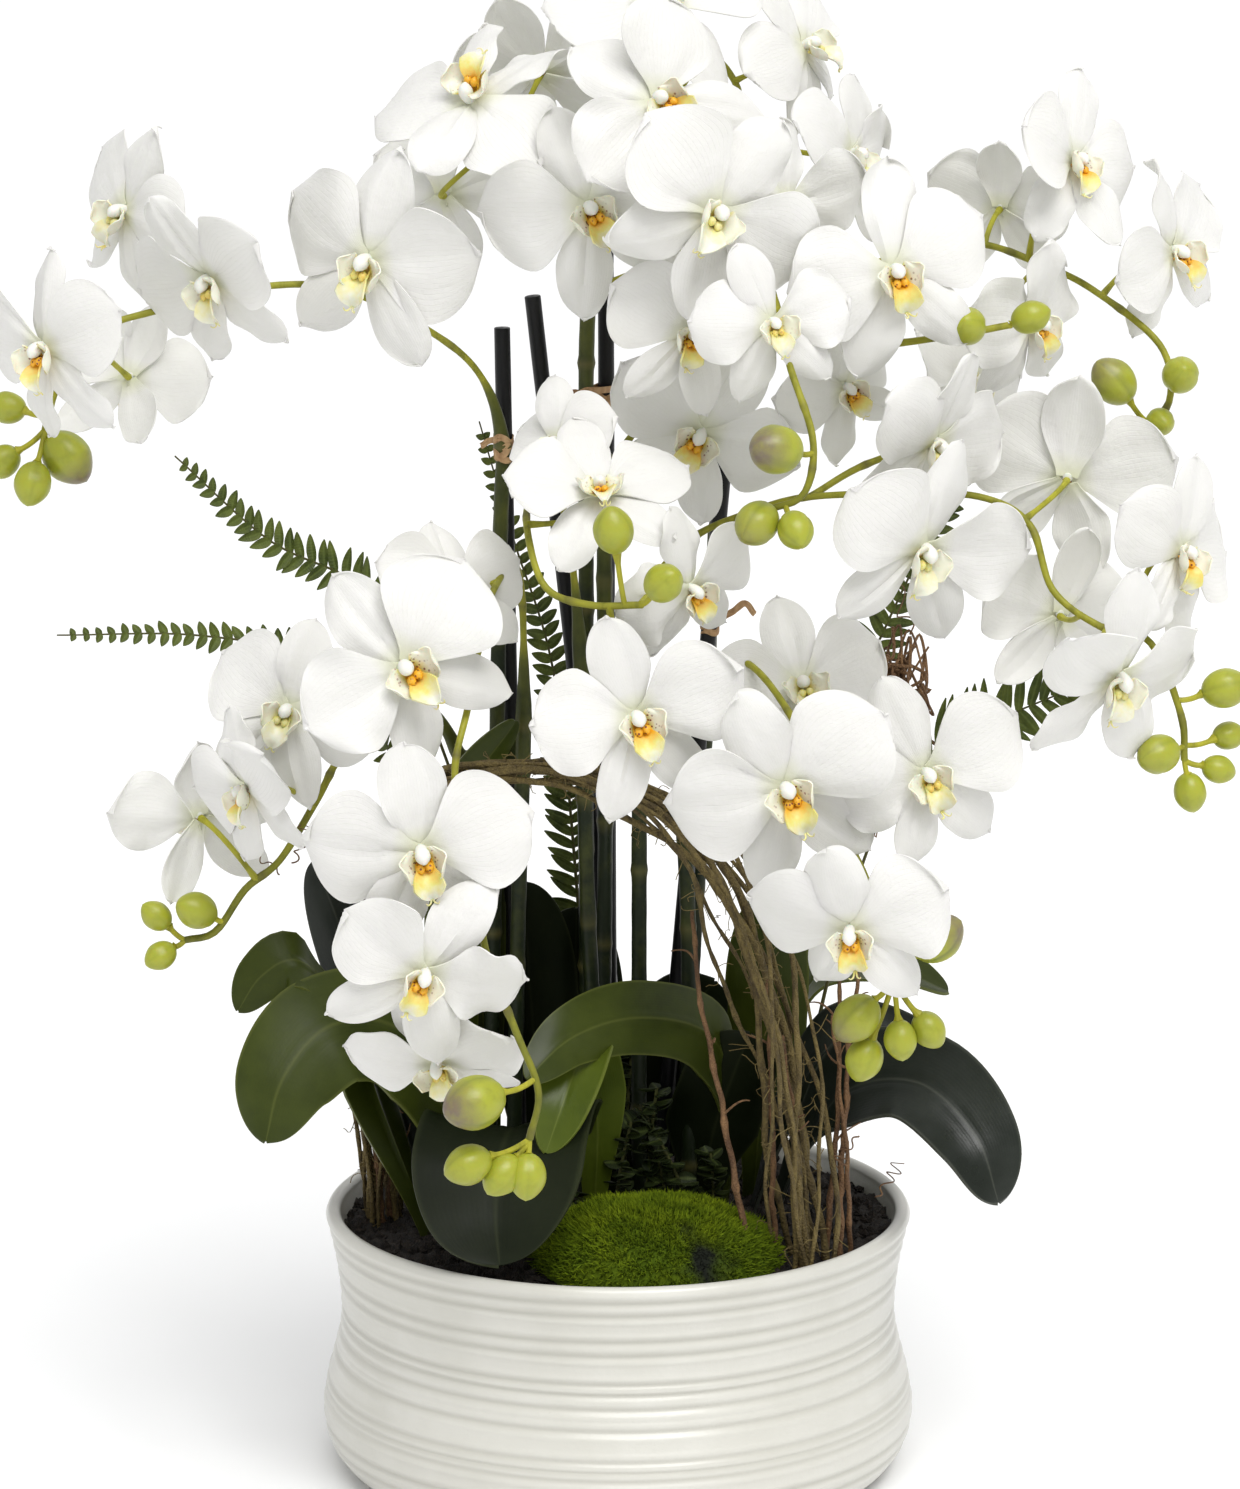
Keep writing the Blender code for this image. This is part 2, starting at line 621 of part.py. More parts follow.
def make_bloom_mesh(sheet_mesh):
    """The tepals with the lip standing out below the middle."""
    sheet = new_object("bloom", sheet_mesh.copy(), "petal")
    shape = bmesh.new()
    bmesh.ops.create_cone(
        shape, cap_ends=True, segments=6, radius1=LIP_BASE_RADIUS, radius2=LIP_TIP_RADIUS,
        depth=LIP_LENGTH,
    )
    lip = new_object("lip", mesh_from_bmesh("lip", shape), "petal")
    lip.location = (0.0, -LIP_DROP, LIP_STANDOUT)
    lip.rotation_euler = (math.radians(LIP_TILT), 0.0, 0.0)
    mesh = joined_mesh("bloom", [sheet, lip])
    shade(mesh, 30)
    return mesh


def facing_vector(azimuth, elevation):
    turn, rise = math.radians(azimuth), math.radians(elevation)
    return Vector((math.sin(turn) * math.cos(rise), -math.cos(turn) * math.cos(rise), math.sin(rise)))


def facing_frame(azimuth, elevation, roll):
    """A rotation whose +Z faces out and whose +Y is the flower's top."""
    outward = facing_vector(azimuth, elevation)
    right = Vector((math.cos(math.radians(azimuth)), math.sin(math.radians(azimuth)), 0.0))
    top = outward.cross(right)
    frame = Matrix((right, top, outward)).transposed()
    return frame @ Matrix.Rotation(math.radians(roll), 3, "Z")


def place_bloom(name, mesh, bloom):
    centre, azimuth, elevation, roll, percent = bloom
    obj = new_object(name, mesh, "petal")
    frame = facing_frame(azimuth, elevation, roll).to_4x4()
    size = Matrix.Scale(percent / 100, 4)
    obj.matrix_world = Matrix.Translation(above_soil(centre)) @ frame @ size
    return obj


def nearest_on(paths, place):
    return min((point for path in paths for point in path), key=lambda point: (point - place).length)


def stalk(paths, end, outward, radius):
    """A short curved flower stalk from the nearest stem, which arrives along the outward direction."""
    start = nearest_on(paths, end - outward * STALK_REACH_BACK)
    bend = end - outward * min(0.5 * (end - start).length, STALK_BEND)
    near = end - outward * STALK_NECK
    path = [start.lerp(bend, t).lerp(bend.lerp(near, t), t) for t in (0.0, 0.5, 1.0)]
    path.append(end)
    return tube("stalk", path, [radius] * len(path), "stem", 0)


def bud(paths, centre, radius):
    """A pointed oval bud with its stalk, which runs on from the nearest stem."""
    start = nearest_on(paths, centre)
    axis = (centre - start).normalized()
    shape = bmesh.new()
    bmesh.ops.create_uvsphere(shape, u_segments=6, v_segments=4, radius=radius)
    mesh = mesh_from_bmesh("bud", shape)
    body = new_object("bud", mesh, "stem")
    body.matrix_world = (
        Matrix.Translation(centre) @ axis.to_track_quat("Z", "Y").to_matrix().to_4x4()
        @ Matrix.Diagonal((1.0, 1.0, BUD_STRETCH, 1.0))
    )
    pieces = [body]
    if (centre - start).length > radius * 0.5:
        path = [start, start.lerp(centre, 0.5), centre]
        pieces.append(tube("bud_stalk", path, [STALK_RADIUS] * 3, "stem", 0))
    return pieces


def stem_radii(path, thick_to):
    """Thick up to the tie, then drawn out to the thickness of a flower twig."""
    radii = []
    for point in path:
        beyond = (point.z - above_soil((0, 0, thick_to)).z) / STEM_TAPER_LENGTH
        radii.append(STEM_RADIUS + (TWIG_RADIUS - STEM_RADIUS) * min(max(beyond, 0.0), 1.0))
    for index in range(1, len(radii)):
        radii[index] = min(radii[index], radii[index - 1])
    return radii


def make_spray(name, spray, bloom_mesh, sheet_mesh):
    """Stem, stalks and buds are one grown piece; the named blooms stand clear of their stalks."""
    stems = [[above_soil(point) for point in stem] for stem in spray["stems"]]
    paths = [footed_path(stems[0], 2), *(smooth_path(stem, 2) for stem in stems[1:])]
    pieces = []
    for index, path in enumerate(paths):
        radii = stem_radii(path, spray["thick_to"]) if index == 0 else [TWIG_RADIUS] * len(path)
        pieces.append(tube(name, path, radii, "stem", 1 if index == 0 else 0))
    reach = [[point for point in path[:-1] if point.z > SOIL_TOP + STALK_LOWEST] for path in paths]
    for bloom_name, centre, azimuth, elevation, roll, percent in spray["blooms"]:
        place_bloom(bloom_name, bloom_mesh, (centre, azimuth, elevation, roll, percent))
        outward = facing_vector(azimuth, elevation)
        back = above_soil(centre) - outward * (PETAL_THICKNESS * percent / 100 + TOUCH_GAP)
        pieces.append(stalk(reach, back, outward, STALK_RADIUS))
    for centre, azimuth, elevation, roll, percent in spray["joined"]:
        pieces.append(place_bloom("joined_bloom", sheet_mesh, (centre, azimuth, elevation, roll, percent)))
        outward = facing_vector(azimuth, elevation)
        pieces.append(stalk(reach, above_soil(centre), outward, STALK_RADIUS))
    for centre, radius in spray["buds"]:
        pieces.extend(bud(reach, above_soil(centre), radius * MM))
    mesh = joined_mesh(name, pieces)
    mesh.materials.clear()
    shade(mesh)
    return new_object(name, mesh, "stem")


def ribbon(name, path, across, half_widths, thickness, fold, finish):
    """A strap three points wide along a path, folded at its middle and given a thickness."""
    shape = bmesh.new()
    rows = []
    for index, (place, half_width) in enumerate(zip(path, half_widths)):
        along = (path[min(index + 1, len(path) - 1)] - path[max(index - 1, 0)]).normalized()
        side = (across - along * across.dot(along)).normalized()
        face = side.cross(along)
        edges = (place - side * half_width + face * half_width * fold,
                 place, place + side * half_width + face * half_width * fold)
        rows.append([shape.verts.new(corner) for corner in edges])
    for row, following in zip(rows, rows[1:]):
        for column in range(2):
            shape.faces.new((row[column], row[column + 1], following[column + 1], following[column]))
    obj = new_object(name, mesh_from_bmesh(name, shape), finish)
    solidify = obj.modifiers.new("thickness", "SOLIDIFY")
    solidify.thickness = thickness
    solidify.offset = 0.0
    return obj


def leaf_half_width(share, width):
    """Narrow at the foot, broadest past the middle, and rounded to a short tip."""
    grow = min(1.0, 0.22 + 1.35 * share)
    past = max(0.0, (share - LEAF_BROADEST) / (1 - LEAF_BROADEST))
    return max(width / 2 * grow * math.sqrt(max(0.0, 1 - past ** 2)), LEAST_LEAF_HALF_WIDTH)


def make_leaves():
    for name, (points, across, width) in LEAVES.items():
        path = footed_path([spread_with_bowl(point) for point in points], 2)
        last = len(path) - 1
        widths = [leaf_half_width(index / last, width * MM) for index in range(last + 1)]
        ribbon(name, path, Vector(across), widths, LEAF_THICKNESS, LEAF_FOLD, "leaf")


def make_fronds():
    for name, (points, across, reach, bare) in FRONDS.items():
        places = [above_soil(point) for point in points]
        path = smooth_path(places, 24)
        path[0] = path[0] + Vector((0.0, 0.0, TOUCH_GAP + FROND_THICKNESS))
        first = int(bare * (len(path) - 1))
        stations = [0, first // 3, 2 * first // 3, first]
        widths = [FROND_SPINE_HALF_WIDTH] * len(stations)
        teeth = FROND_TEETH * 2
        for tooth in range(1, teeth + 1):
            stations.append(first + (len(path) - 1 - first) * tooth // teeth)
            taper = 1.0 - (1.0 - FROND_TIP_SHARE) * (tooth / teeth) ** 2
            widths.append(reach * MM * taper if tooth % 2 else FROND_SPINE_HALF_WIDTH)
        ribbon(name, [path[station] for station in stations], Vector(across), widths,
               FROND_THICKNESS, 0.0, "fern")


def make_vines():
    for name, (points, radius) in VINES.items():
        path = footed_path([spread_with_bowl(point) for point in points], 2)
        if points[-1][2] == 0:
            path = footed_path(path[::-1], 1)
        tube(name, path, [radius] * len(path), "vine")


def crossing_at(path, height):
    """The point of a rising path at this height."""
    for low, high in zip(path, path[1:]):
        if low.z <= height <= high.z:
            return low.lerp(high, (height - low.z) / (high.z - low.z))
    return path[-1]


def make_ties():
    """A loop round a stake and the stem beside it, clear of both."""
    for name, (stake_name, spray_name, height_mm) in TIES.items():
        height = above_soil((0, 0, height_mm)).z
        stake = crossing_at([above_soil(point) for point in STAKES[stake_name]], height)
        stem_points = [above_soil(point) for point in SPRAYS[spray_name]["stems"][0]]
        stem = crossing_at(footed_path(stem_points, 2), height)
        middle = (stake + stem) / 2
        along = (stem - stake).normalized()
        side = along.cross(Vector((0, 0, 1))).normalized()
        grip = max(STAKE_RADIUS, STEM_RADIUS) * 1.08 + TIE_RADIUS + TIE_CLEARANCE
        half = (stem - stake).length / 2
        path = []
        for step in range(12):
            turn = 2 * math.pi * (step + 0.5) / 12
            offset = math.copysign(half, math.cos(turn))
            path.append(middle + along * (offset + grip * math.cos(turn)) + side * grip * math.sin(turn))
        tube(name, path, [TIE_RADIUS] * len(path), "raffia", 0, closed=True)


def main():
    make_pot()
    make_soil()
    make_stakes()
    make_moss()
    make_leaves()
    make_fronds()
    make_vines()
    bloom_mesh = make_bloom_mesh(make_bloom_sheet(BLOOM_SIDES))
    sheet_mesh = make_bloom_sheet(JOINED_BLOOM_SIDES)
    for name, spray in SPRAYS.items():
        make_spray(name, spray, bloom_mesh, sheet_mesh)
    make_ties()


main()
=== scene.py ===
"""Looks of a potted moth orchid arrangement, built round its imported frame.

Metres, +Z up, and the front faces -Y. Everything that grows is placed from the middle of the soil
surface, in millimetres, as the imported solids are.
"""

import logging
import math
from dataclasses import dataclass, field
from enum import Enum

import bmesh
import bpy
import numpy as np
from mathutils import Matrix, Vector


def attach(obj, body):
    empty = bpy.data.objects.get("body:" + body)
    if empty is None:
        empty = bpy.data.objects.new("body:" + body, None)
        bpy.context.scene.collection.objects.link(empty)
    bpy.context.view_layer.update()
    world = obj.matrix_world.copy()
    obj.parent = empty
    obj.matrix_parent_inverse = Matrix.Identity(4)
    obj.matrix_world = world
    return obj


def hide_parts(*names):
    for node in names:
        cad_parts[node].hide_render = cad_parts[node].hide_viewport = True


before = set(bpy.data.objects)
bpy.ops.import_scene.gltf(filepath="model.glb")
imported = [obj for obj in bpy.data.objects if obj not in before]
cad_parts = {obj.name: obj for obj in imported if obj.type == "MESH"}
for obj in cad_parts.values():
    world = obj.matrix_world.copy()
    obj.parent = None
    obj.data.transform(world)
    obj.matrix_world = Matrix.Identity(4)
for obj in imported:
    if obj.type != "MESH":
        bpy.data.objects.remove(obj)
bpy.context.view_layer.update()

MM = 0.001
POT_RADIUS = 0.140
POT_HEIGHT = 0.128
POT_WALL = 0.007
SOIL_DROP = 0.010
SOIL_TOP = POT_HEIGHT - SOIL_DROP
RIM_INNER_RADIUS = POT_RADIUS - POT_WALL
MOSS_CENTRE = (17.0, -78.0)
MOSS_HALF_LENGTH = 56.0
MOSS_HALF_DEPTH = 46.0
MOSS_HEIGHT = 35.0
STAKE_RADIUS = 0.0038
STEM_RADIUS = 0.0036
TWIG_RADIUS = 0.0016
STALK_RADIUS = 0.0013
BLOOM_SPAN = 0.095
STEM_TAPER_LENGTH = 30.0
FOOT_RISE = 8.0
ROOT_DEPTH = 0.004

LOG = logging.getLogger("potted_orchid")

Place = tuple[float, float, float]
Colour = tuple[float, float, float]
Line = list[Place]
Output = bpy.types.NodeSocket
Finish = bpy.types.Material


class Slot(str, Enum):
    """The record's material slots."""

    POT = "glazed_pot"
    SOIL = "soil"
    MOSS = "moss"
    STAKE = "stake"
    RAFFIA = "raffia"
    PETAL = "petal"
    STEM = "flower_stem"
    LEAF = "leaf"
    FERN = "fern"
    BUD = "bud"
    LIP = "lip"
    VINE = "vine"


# Shape helpers


def above_soil(places: object) -> np.ndarray:
    """Turns places in millimetres from the middle of the soil surface into metres.

    Args:
        places: One (x, y, height) or a list of them.

    Returns:
        The same places in metres, in the frame's own axes.
    """
    return np.asarray(places, float) * MM + np.array((0.0, 0.0, SOIL_TOP))


def eased(share: object) -> object:
    """Eases a share from 0 to 1 in and out, with numbers or arrays."""
    share = np.clip(share, 0.0, 1.0)
    return share * share * (3 - 2 * share)


def units(vectors: np.ndarray) -> np.ndarray:
    """Scales each vector to a length of one."""
    return vectors / np.maximum(np.linalg.norm(vectors, axis=-1, keepdims=True), 1e-12)


def ripple(points: np.ndarray, size: float, seed: int) -> np.ndarray:
    """Gives smooth bumps over space, from a few crossing waves.

    Args:
        points: Places, one to a row.
        size: The usual width of a bump, in metres.
        seed: Picks the waves' directions and phases.

    Returns:
        A value of about -1 to 1 for each place.
    """
    draw = np.random.default_rng(seed)
    total = np.zeros(points.shape[:-1])
    for _ in range(6):
        direction = units(draw.normal(size=3)) * (2 * math.pi / size) * draw.uniform(0.6, 1.4)
        total += np.sin(points @ direction + draw.uniform(0, 2 * math.pi))
    return total / 3.5


def smooth_path(points: np.ndarray, steps: int) -> np.ndarray:
    """Runs a Catmull-Rom curve through the points.

    Args:
        points: The places that the curve passes, one to a row.
        steps: How many points each stretch gets.

    Returns:
        The curve's points, one to a row.
    """
    points = np.asarray(points, float)
    ends = np.vstack((2 * points[0] - points[1], points, 2 * points[-1] - points[-2]))
    share = (np.arange(steps) / steps)[:, None]
    rows = []
    for before, start, end, after in zip(ends, ends[1:], ends[2:], ends[3:]):
        rows.append(0.5 * (2 * start + (end - before) * share
                           + (2 * before - 5 * start + 4 * end - after) * share ** 2
                           + (3 * start - before - 3 * end + after) * share ** 3))
    return np.vstack((*rows, points[-1]))


def footed_path(places: object, steps: int) -> np.ndarray:
    """Runs a smooth curve whose foot rises straight out of the soil.

    Args:
        places: Places in millimetres from the middle of the soil, the foot first.
        steps: How many points each stretch gets.

    Returns:
        The curve's points in metres.
    """
    places = above_soil(places)
    foot = places[0] + (0.0, 0.0, FOOT_RISE * MM)
    root = places[0] - (0.0, 0.0, ROOT_DEPTH)
    return np.vstack((root, smooth_path(np.vstack((foot, places[1:])), steps)))


def lengths_along(path: np.ndarray) -> np.ndarray:
    """Gives how far along the path each of its points is."""
    return np.concatenate(([0.0], np.cumsum(np.linalg.norm(np.diff(path, axis=0), axis=1))))


def read_at(wanted: object, known: np.ndarray, rows: np.ndarray) -> np.ndarray:
    """Reads rows of three numbers, each known at one value, at the values that are wanted."""
    return np.stack([np.interp(wanted, known, rows[:, axis]) for axis in range(3)], -1)


def spaced(path: np.ndarray, count: int) -> np.ndarray:
    """Gives this many points at even distances along a path."""
    travelled = lengths_along(path)
    return read_at(np.linspace(0, travelled[-1], count), travelled, path)


def bent_line(start: np.ndarray, bend: np.ndarray, end: np.ndarray, count: int) -> np.ndarray:
    """Runs this many points from start to end, drawn aside towards bend."""
    share = np.linspace(0, 1, count)[:, None]
    return start * (1 - share) ** 2 + 2 * bend * share * (1 - share) + end * share ** 2


def full_turn(count: int) -> np.ndarray:
    """Gives this many even angles round a circle."""
    return 2 * math.pi * np.arange(count) / count


def tangents(path: np.ndarray) -> np.ndarray:
    """Gives the direction of the path at each of its points."""
    return units(np.gradient(path, axis=0))


def carried_sides(path: np.ndarray) -> np.ndarray:
    """Gives a side direction at each point of a path that turns with it and never twists."""
    along = tangents(path)
    side = np.cross(along[0], (0.31, 0.83, 0.46))
    sides = []
    for direction in along:
        side = side - direction * (side @ direction)
        side = side / max(np.linalg.norm(side), 1e-9)
        sides.append(side)
    return np.array(sides)


def facing_frame(azimuth: float, elevation: float, roll: float) -> np.ndarray:
    """Gives a flower's own axes.

    Args:
        azimuth: Degrees from the front, positive towards +X.
        elevation: Degrees above level.
        roll: Degrees that the flower is turned about the way it faces.

    Returns:
        A 3 x 3 array whose columns are the flower's right, its top and the way it faces.
    """
    turn, rise, spin = (math.radians(value) for value in (azimuth, elevation, roll))
    outward = Vector((math.sin(turn) * math.cos(rise), -math.cos(turn) * math.cos(rise), math.sin(rise)))
    right = Vector((math.cos(turn), math.sin(turn), 0.0))
    axes = Matrix((right, outward.cross(right), outward)).transposed()
    return np.array(axes @ Matrix.Rotation(spin, 3, "Z"))


def grid_faces(rows: int, columns: int, wrap: bool = False) -> np.ndarray:
    """Lists the four-cornered faces between the rows and columns of a grid of points."""
    reach = columns if wrap else columns - 1
    row, column = np.meshgrid(np.arange(rows - 1), np.arange(reach), indexing="ij")
    start, beside = row * columns + column, row * columns + (column + 1) % columns
    return np.stack((start, beside, beside + columns, start + columns), -1).reshape(-1, 4)


def end_caps(rows: int, sides: int) -> list[tuple[int, int, int]]:
    """Lists the faces that close a wrapped grid with the two points that follow it, one at each end."""
    low, last = rows * sides, (rows - 1) * sides
    first = [(low, (step + 1) % sides, step) for step in range(sides)]
    return first + [(low + 1, last + step, last + (step + 1) % sides) for step in range(sides)]


def strap(middle: np.ndarray, side: np.ndarray, face: np.ndarray, across: np.ndarray,
          rise: np.ndarray) -> np.ndarray:
    """Spreads a strap's points about its middle line.

    Args:
        middle: The middle line, one point to a row.
        side: The direction of its width, one for all or one to a row.
        face: The direction that it rises in, one for all or one to a row.
        across: How far aside each point is, rows by columns.
        rise: How far up each point is, rows by columns.

    Returns:
        The grid of points, rows by columns by three.
    """
    side, face = np.atleast_2d(side)[:, None], np.atleast_2d(face)[:, None]
    return middle[:, None] + side * across[..., None] + face * rise[..., None]


@dataclass
class Shape:
    """One piece's mesh while it is gathered: points, faces and named values at each point."""

    points: list[np.ndarray] = field(default_factory=list)
    faces: list[list[int]] = field(default_factory=list)
    values: list[tuple[int, int, dict[str, object]]] = field(default_factory=list)
    count: int = 0

    def add(self, points: np.ndarray, faces: object, **values: object) -> None:
        """Adds points and the faces that index them.

        Args:
            points: Places in metres, one to a row.
            faces: Lists of places in points, one to a face.
            **values: Named values, each one number or one for each point.
        """
        self.faces.extend((np.asarray(face) + self.count).tolist() for face in faces)
        self.points.append(points)
        self.values.append((self.count, len(points), values))
        self.count += len(points)

    def add_tube(self, path: np.ndarray, radii: object, sides: int, **values: object) -> None:
        """Adds a round strand along a path, with domed ends.

        Args:
            path: The strand's middle line.
            radii: One radius, or one for each point of the path.
            sides: How many sides the strand has round it.
            **values: Named values, each one number or one for each point of the path.
        """
        radii = np.broadcast_to(np.asarray(radii, float), len(path))
        along, side = tangents(path), carried_sides(path)
        face = np.cross(along, side)
        turn = full_turn(sides)
        ring = side[:, None] * np.cos(turn)[:, None] + face[:, None] * np.sin(turn)[:, None]
        rows = path[:, None] + ring * radii[:, None, None]
        ends = np.array((path[0] - along[0] * radii[0] * 0.5, path[-1] + along[-1] * radii[-1] * 0.5))
        spread = {}
        for name, value in values.items():
            value = np.broadcast_to(np.asarray(value, float), len(path))
            spread[name] = np.concatenate((np.repeat(value, sides), value[[0, -1]]))
        points = np.vstack((rows.reshape(-1, 3), ends))
        self.add(points, [*grid_faces(len(path), sides, True), *end_caps(len(path), sides)], **spread)

    def add_sheet(self, grid: np.ndarray, thickness: float, **values: object) -> None:
        """Adds a thin closed sheet from a grid of points.

        Args:
            grid: Points of the front side, rows by columns by three.
            thickness: How thick the sheet is.
            **values: Named values, each one number or one for each row and column.
        """
        rows, columns = grid.shape[:2]
        normal = units(np.cross(np.gradient(grid, axis=0), np.gradient(grid, axis=1)))
        back = grid - normal * thickness
        count = rows * columns
        front = grid_faces(rows, columns)
        index = np.arange(count).reshape(rows, columns)
        edge = np.concatenate((index[0, :-1], index[:-1, -1], index[-1, :0:-1], index[:0:-1, 0]))
        following = np.roll(edge, -1)
        rim = np.stack((edge, following, following + count, edge + count), -1)
        faces = np.vstack((front[:, ::-1], front + count, rim))
        spread = {}
        for name, value in values.items():
            value = np.broadcast_to(np.asarray(value, float), (rows, columns)).reshape(-1)
            spread[name] = np.concatenate((value, value))
        self.add(np.vstack((grid.reshape(-1, 3), back.reshape(-1, 3))), faces, **spread)

    def finish(self, name: str, material: Finish, slot: Slot,
               replaces: object = (), sharp: float = 40.0) -> bpy.types.Object:
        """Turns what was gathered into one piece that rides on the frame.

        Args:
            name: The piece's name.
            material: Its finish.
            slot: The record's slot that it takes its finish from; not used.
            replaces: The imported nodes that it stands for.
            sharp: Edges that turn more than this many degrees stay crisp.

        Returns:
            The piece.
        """
        mesh = bpy.data.meshes.new(name)
        mesh.from_pydata(np.vstack(self.points).tolist(), [], self.faces)
        for value_name in sorted({key for _, _, values in self.values for key in values}):
            column = np.zeros(self.count, np.float32)
            for start, length, values in self.values:
                column[start:start + length] = values.get(value_name, 0.0)
            mesh.attributes.new(value_name, "FLOAT", "POINT").data.foreach_set("value", column)
        gathered = bmesh.new()
        gathered.from_mesh(mesh)
        bmesh.ops.recalc_face_normals(gathered, faces=gathered.faces)
        gathered.to_mesh(mesh)
        gathered.free()
        mesh.shade_smooth()
        mesh.set_sharp_from_angle(angle=math.radians(sharp))
        mesh.materials.append(material)
        piece = bpy.data.objects.new(name, mesh)
        bpy.context.scene.collection.objects.link(piece)
        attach(piece, "root")
        if replaces:
            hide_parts(*replaces)
        LOG.info("%s: %d faces", name, len(mesh.polygons))
        return piece


# Finishes


class Bench:
    """A material on the bench: its shader, and short calls for the nodes that the finishes share."""

    def __init__(self, name: str, roughness: float, **sockets: float) -> None:
        """Starts a material.

        Args:
            name: The material's name.
            roughness: The shader's roughness, before any node drives it.
            **sockets: Other shader sockets by name, with _ for a space.
        """
        self.material = bpy.data.materials.new(name)
        self.material.use_nodes = True
        self.tree = self.material.node_tree
        self.shader = self.tree.nodes["Principled BSDF"]
        self.shader.inputs["Roughness"].default_value = roughness
        for socket, value in sockets.items():
            self.shader.inputs[socket.replace("_", " ")].default_value = value
        self.place = self.node("ShaderNodeTexCoord").outputs["Object"]

    def node(self, kind: str, **settings: object) -> bpy.types.Node:
        """Adds a node of this kind and sets its properties."""
        made = self.tree.nodes.new(kind)
        for name, value in settings.items():
            setattr(made, name, value)
        return made

    def feed(self, socket: Output, value: object) -> None:
        """Links a socket to another node's output, or sets its number or colour."""
        if isinstance(value, Output):
            self.tree.links.new(value, socket)
        elif isinstance(value, tuple) and len(value) == 3 and len(socket.default_value) == 4:
            socket.default_value = (*value, 1.0)
        else:
            socket.default_value = value

    def value(self, name: str) -> Output:
        """Reads one of the mesh's named values."""
        return self.node("ShaderNodeAttribute", attribute_name=name).outputs["Fac"]

    def stretched(self, scale: Place) -> Output:
        """Gives object places scaled by this much along each axis."""
        mapping = self.node("ShaderNodeMapping")
        self.feed(mapping.inputs["Vector"], self.place)
        mapping.inputs["Scale"].default_value = scale
        return mapping.outputs["Vector"]

    def noise(self, scale: float, detail: float = 4.0, place: object = None,
              roughness: float = 0.55) -> Output:
        """Adds a noise pattern and gives its value."""
        made = self.node("ShaderNodeTexNoise")
        self.feed(made.inputs["Vector"], place or self.place)
        for socket, number in (("Scale", scale), ("Detail", detail), ("Roughness", roughness)):
            made.inputs[socket].default_value = number
        return made.outputs["Fac"]

    def cells(self, scale: float, feature: str = "F1") -> Output:
        """Adds a cell pattern and gives the distance to the nearest cell."""
        made = self.node("ShaderNodeTexVoronoi", feature=feature)
        self.feed(made.inputs["Vector"], self.place)
        made.inputs["Scale"].default_value = scale
        return made.outputs["Distance"]

    def sums(self, operation: str, first: object, second: object = 0.0,
             third: object = 0.0) -> Output:
        """Adds a Math node and gives its result."""
        made = self.node("ShaderNodeMath", operation=operation)
        for socket, number in zip(made.inputs, (first, second, third)):
            self.feed(socket, number)
        return made.outputs["Value"]

    def spread(self, source: object, low: float, high: float, to_low: float = 0.0,
               to_high: float = 1.0) -> Output:
        """Stretches a range of values onto another, and holds it there."""
        made = self.node("ShaderNodeMapRange")
        for socket, number in zip(made.inputs, (source, low, high, to_low, to_high)):
            self.feed(socket, number)
        return made.outputs["Result"]

    def blend(self, share: object, first: object, second: object) -> Output:
        """Mixes two colours and gives the result."""
        made = self.node("ShaderNodeMix", data_type="RGBA")
        for socket, content in ((made.inputs[0], share), (made.inputs[6], first), (made.inputs[7], second)):
            self.feed(socket, content)
        return made.outputs[2]

    def ramp(self, source: object, *stops: tuple[float, Colour]) -> Output:
        """Adds a colour ramp with these stops and gives its colour."""
        made = self.node("ShaderNodeValToRGB")
        self.feed(made.inputs["Fac"], source)
        elements = made.color_ramp.elements
        while len(elements) < len(stops):
            elements.new(0.5)
        for element, (position, colour) in zip(elements, stops):
            element.position = position
            element.color = (*colour, 1.0)
        return made.outputs["Color"]

    def relief(self, height: object, strength: float, depth: float) -> None:
        """Roughens the surface with a height pattern.

        Args:
            height: The pattern's output.
            strength: The share of the relief that shows.
            depth: How far a height of one stands out, in metres.
        """
        bump = self.node("ShaderNodeBump")
        self.feed(bump.inputs["Height"], height)
        bump.inputs["Strength"].default_value = strength
        bump.inputs["Distance"].default_value = depth
        self.feed(self.shader.inputs["Normal"], bump.outputs["Normal"])

    def dress(self, colour: object, roughness: object = None) -> Finish:
        """Gives the shader its colour and its roughness, and hands the material over."""
        self.feed(self.shader.inputs["Base Color"], colour)
        if roughness is not None:
            self.feed(self.shader.inputs["Roughness"], roughness)
        return self.material


@dataclass(frozen=True)
class Glaze:
    """Satin off-white glaze, a little darker where it thins, with painted shade darkening the grooves."""

    body: Colour = (0.58, 0.57, 0.515)
    thin: Colour = (0.63, 0.62, 0.57)
    groove_shade: Colour = (0.53, 0.52, 0.465)

    def make(self) -> Finish:
        """Builds the material."""
        bench = Bench("satin_glaze", 0.34, Coat_Weight=0.25, Coat_Roughness=0.22)
        cloud = bench.noise(22.0, 5.0)
        speck = bench.spread(bench.noise(900.0, 2.0), 0.70, 0.78)
        colour = bench.blend(bench.spread(cloud, 0.35, 0.65), self.body, self.thin)
        # painted shade: the glaze colour is darkened in the combed rings' grooves
        colour = bench.blend(bench.value("groove"), colour, self.groove_shade)
        colour = bench.blend(bench.sums("MULTIPLY", speck, 0.25), colour, (0.40, 0.38, 0.33))
        drift = bench.noise(60.0, 3.0, bench.stretched((1.0, 1.0, 9.0)))
        bench.relief(bench.sums("MULTIPLY_ADD", drift, 0.7, bench.noise(420.0, 2.0)), 0.30, 0.0004)
        return bench.dress(colour, bench.spread(cloud, 0.3, 0.7, 0.30, 0.42))


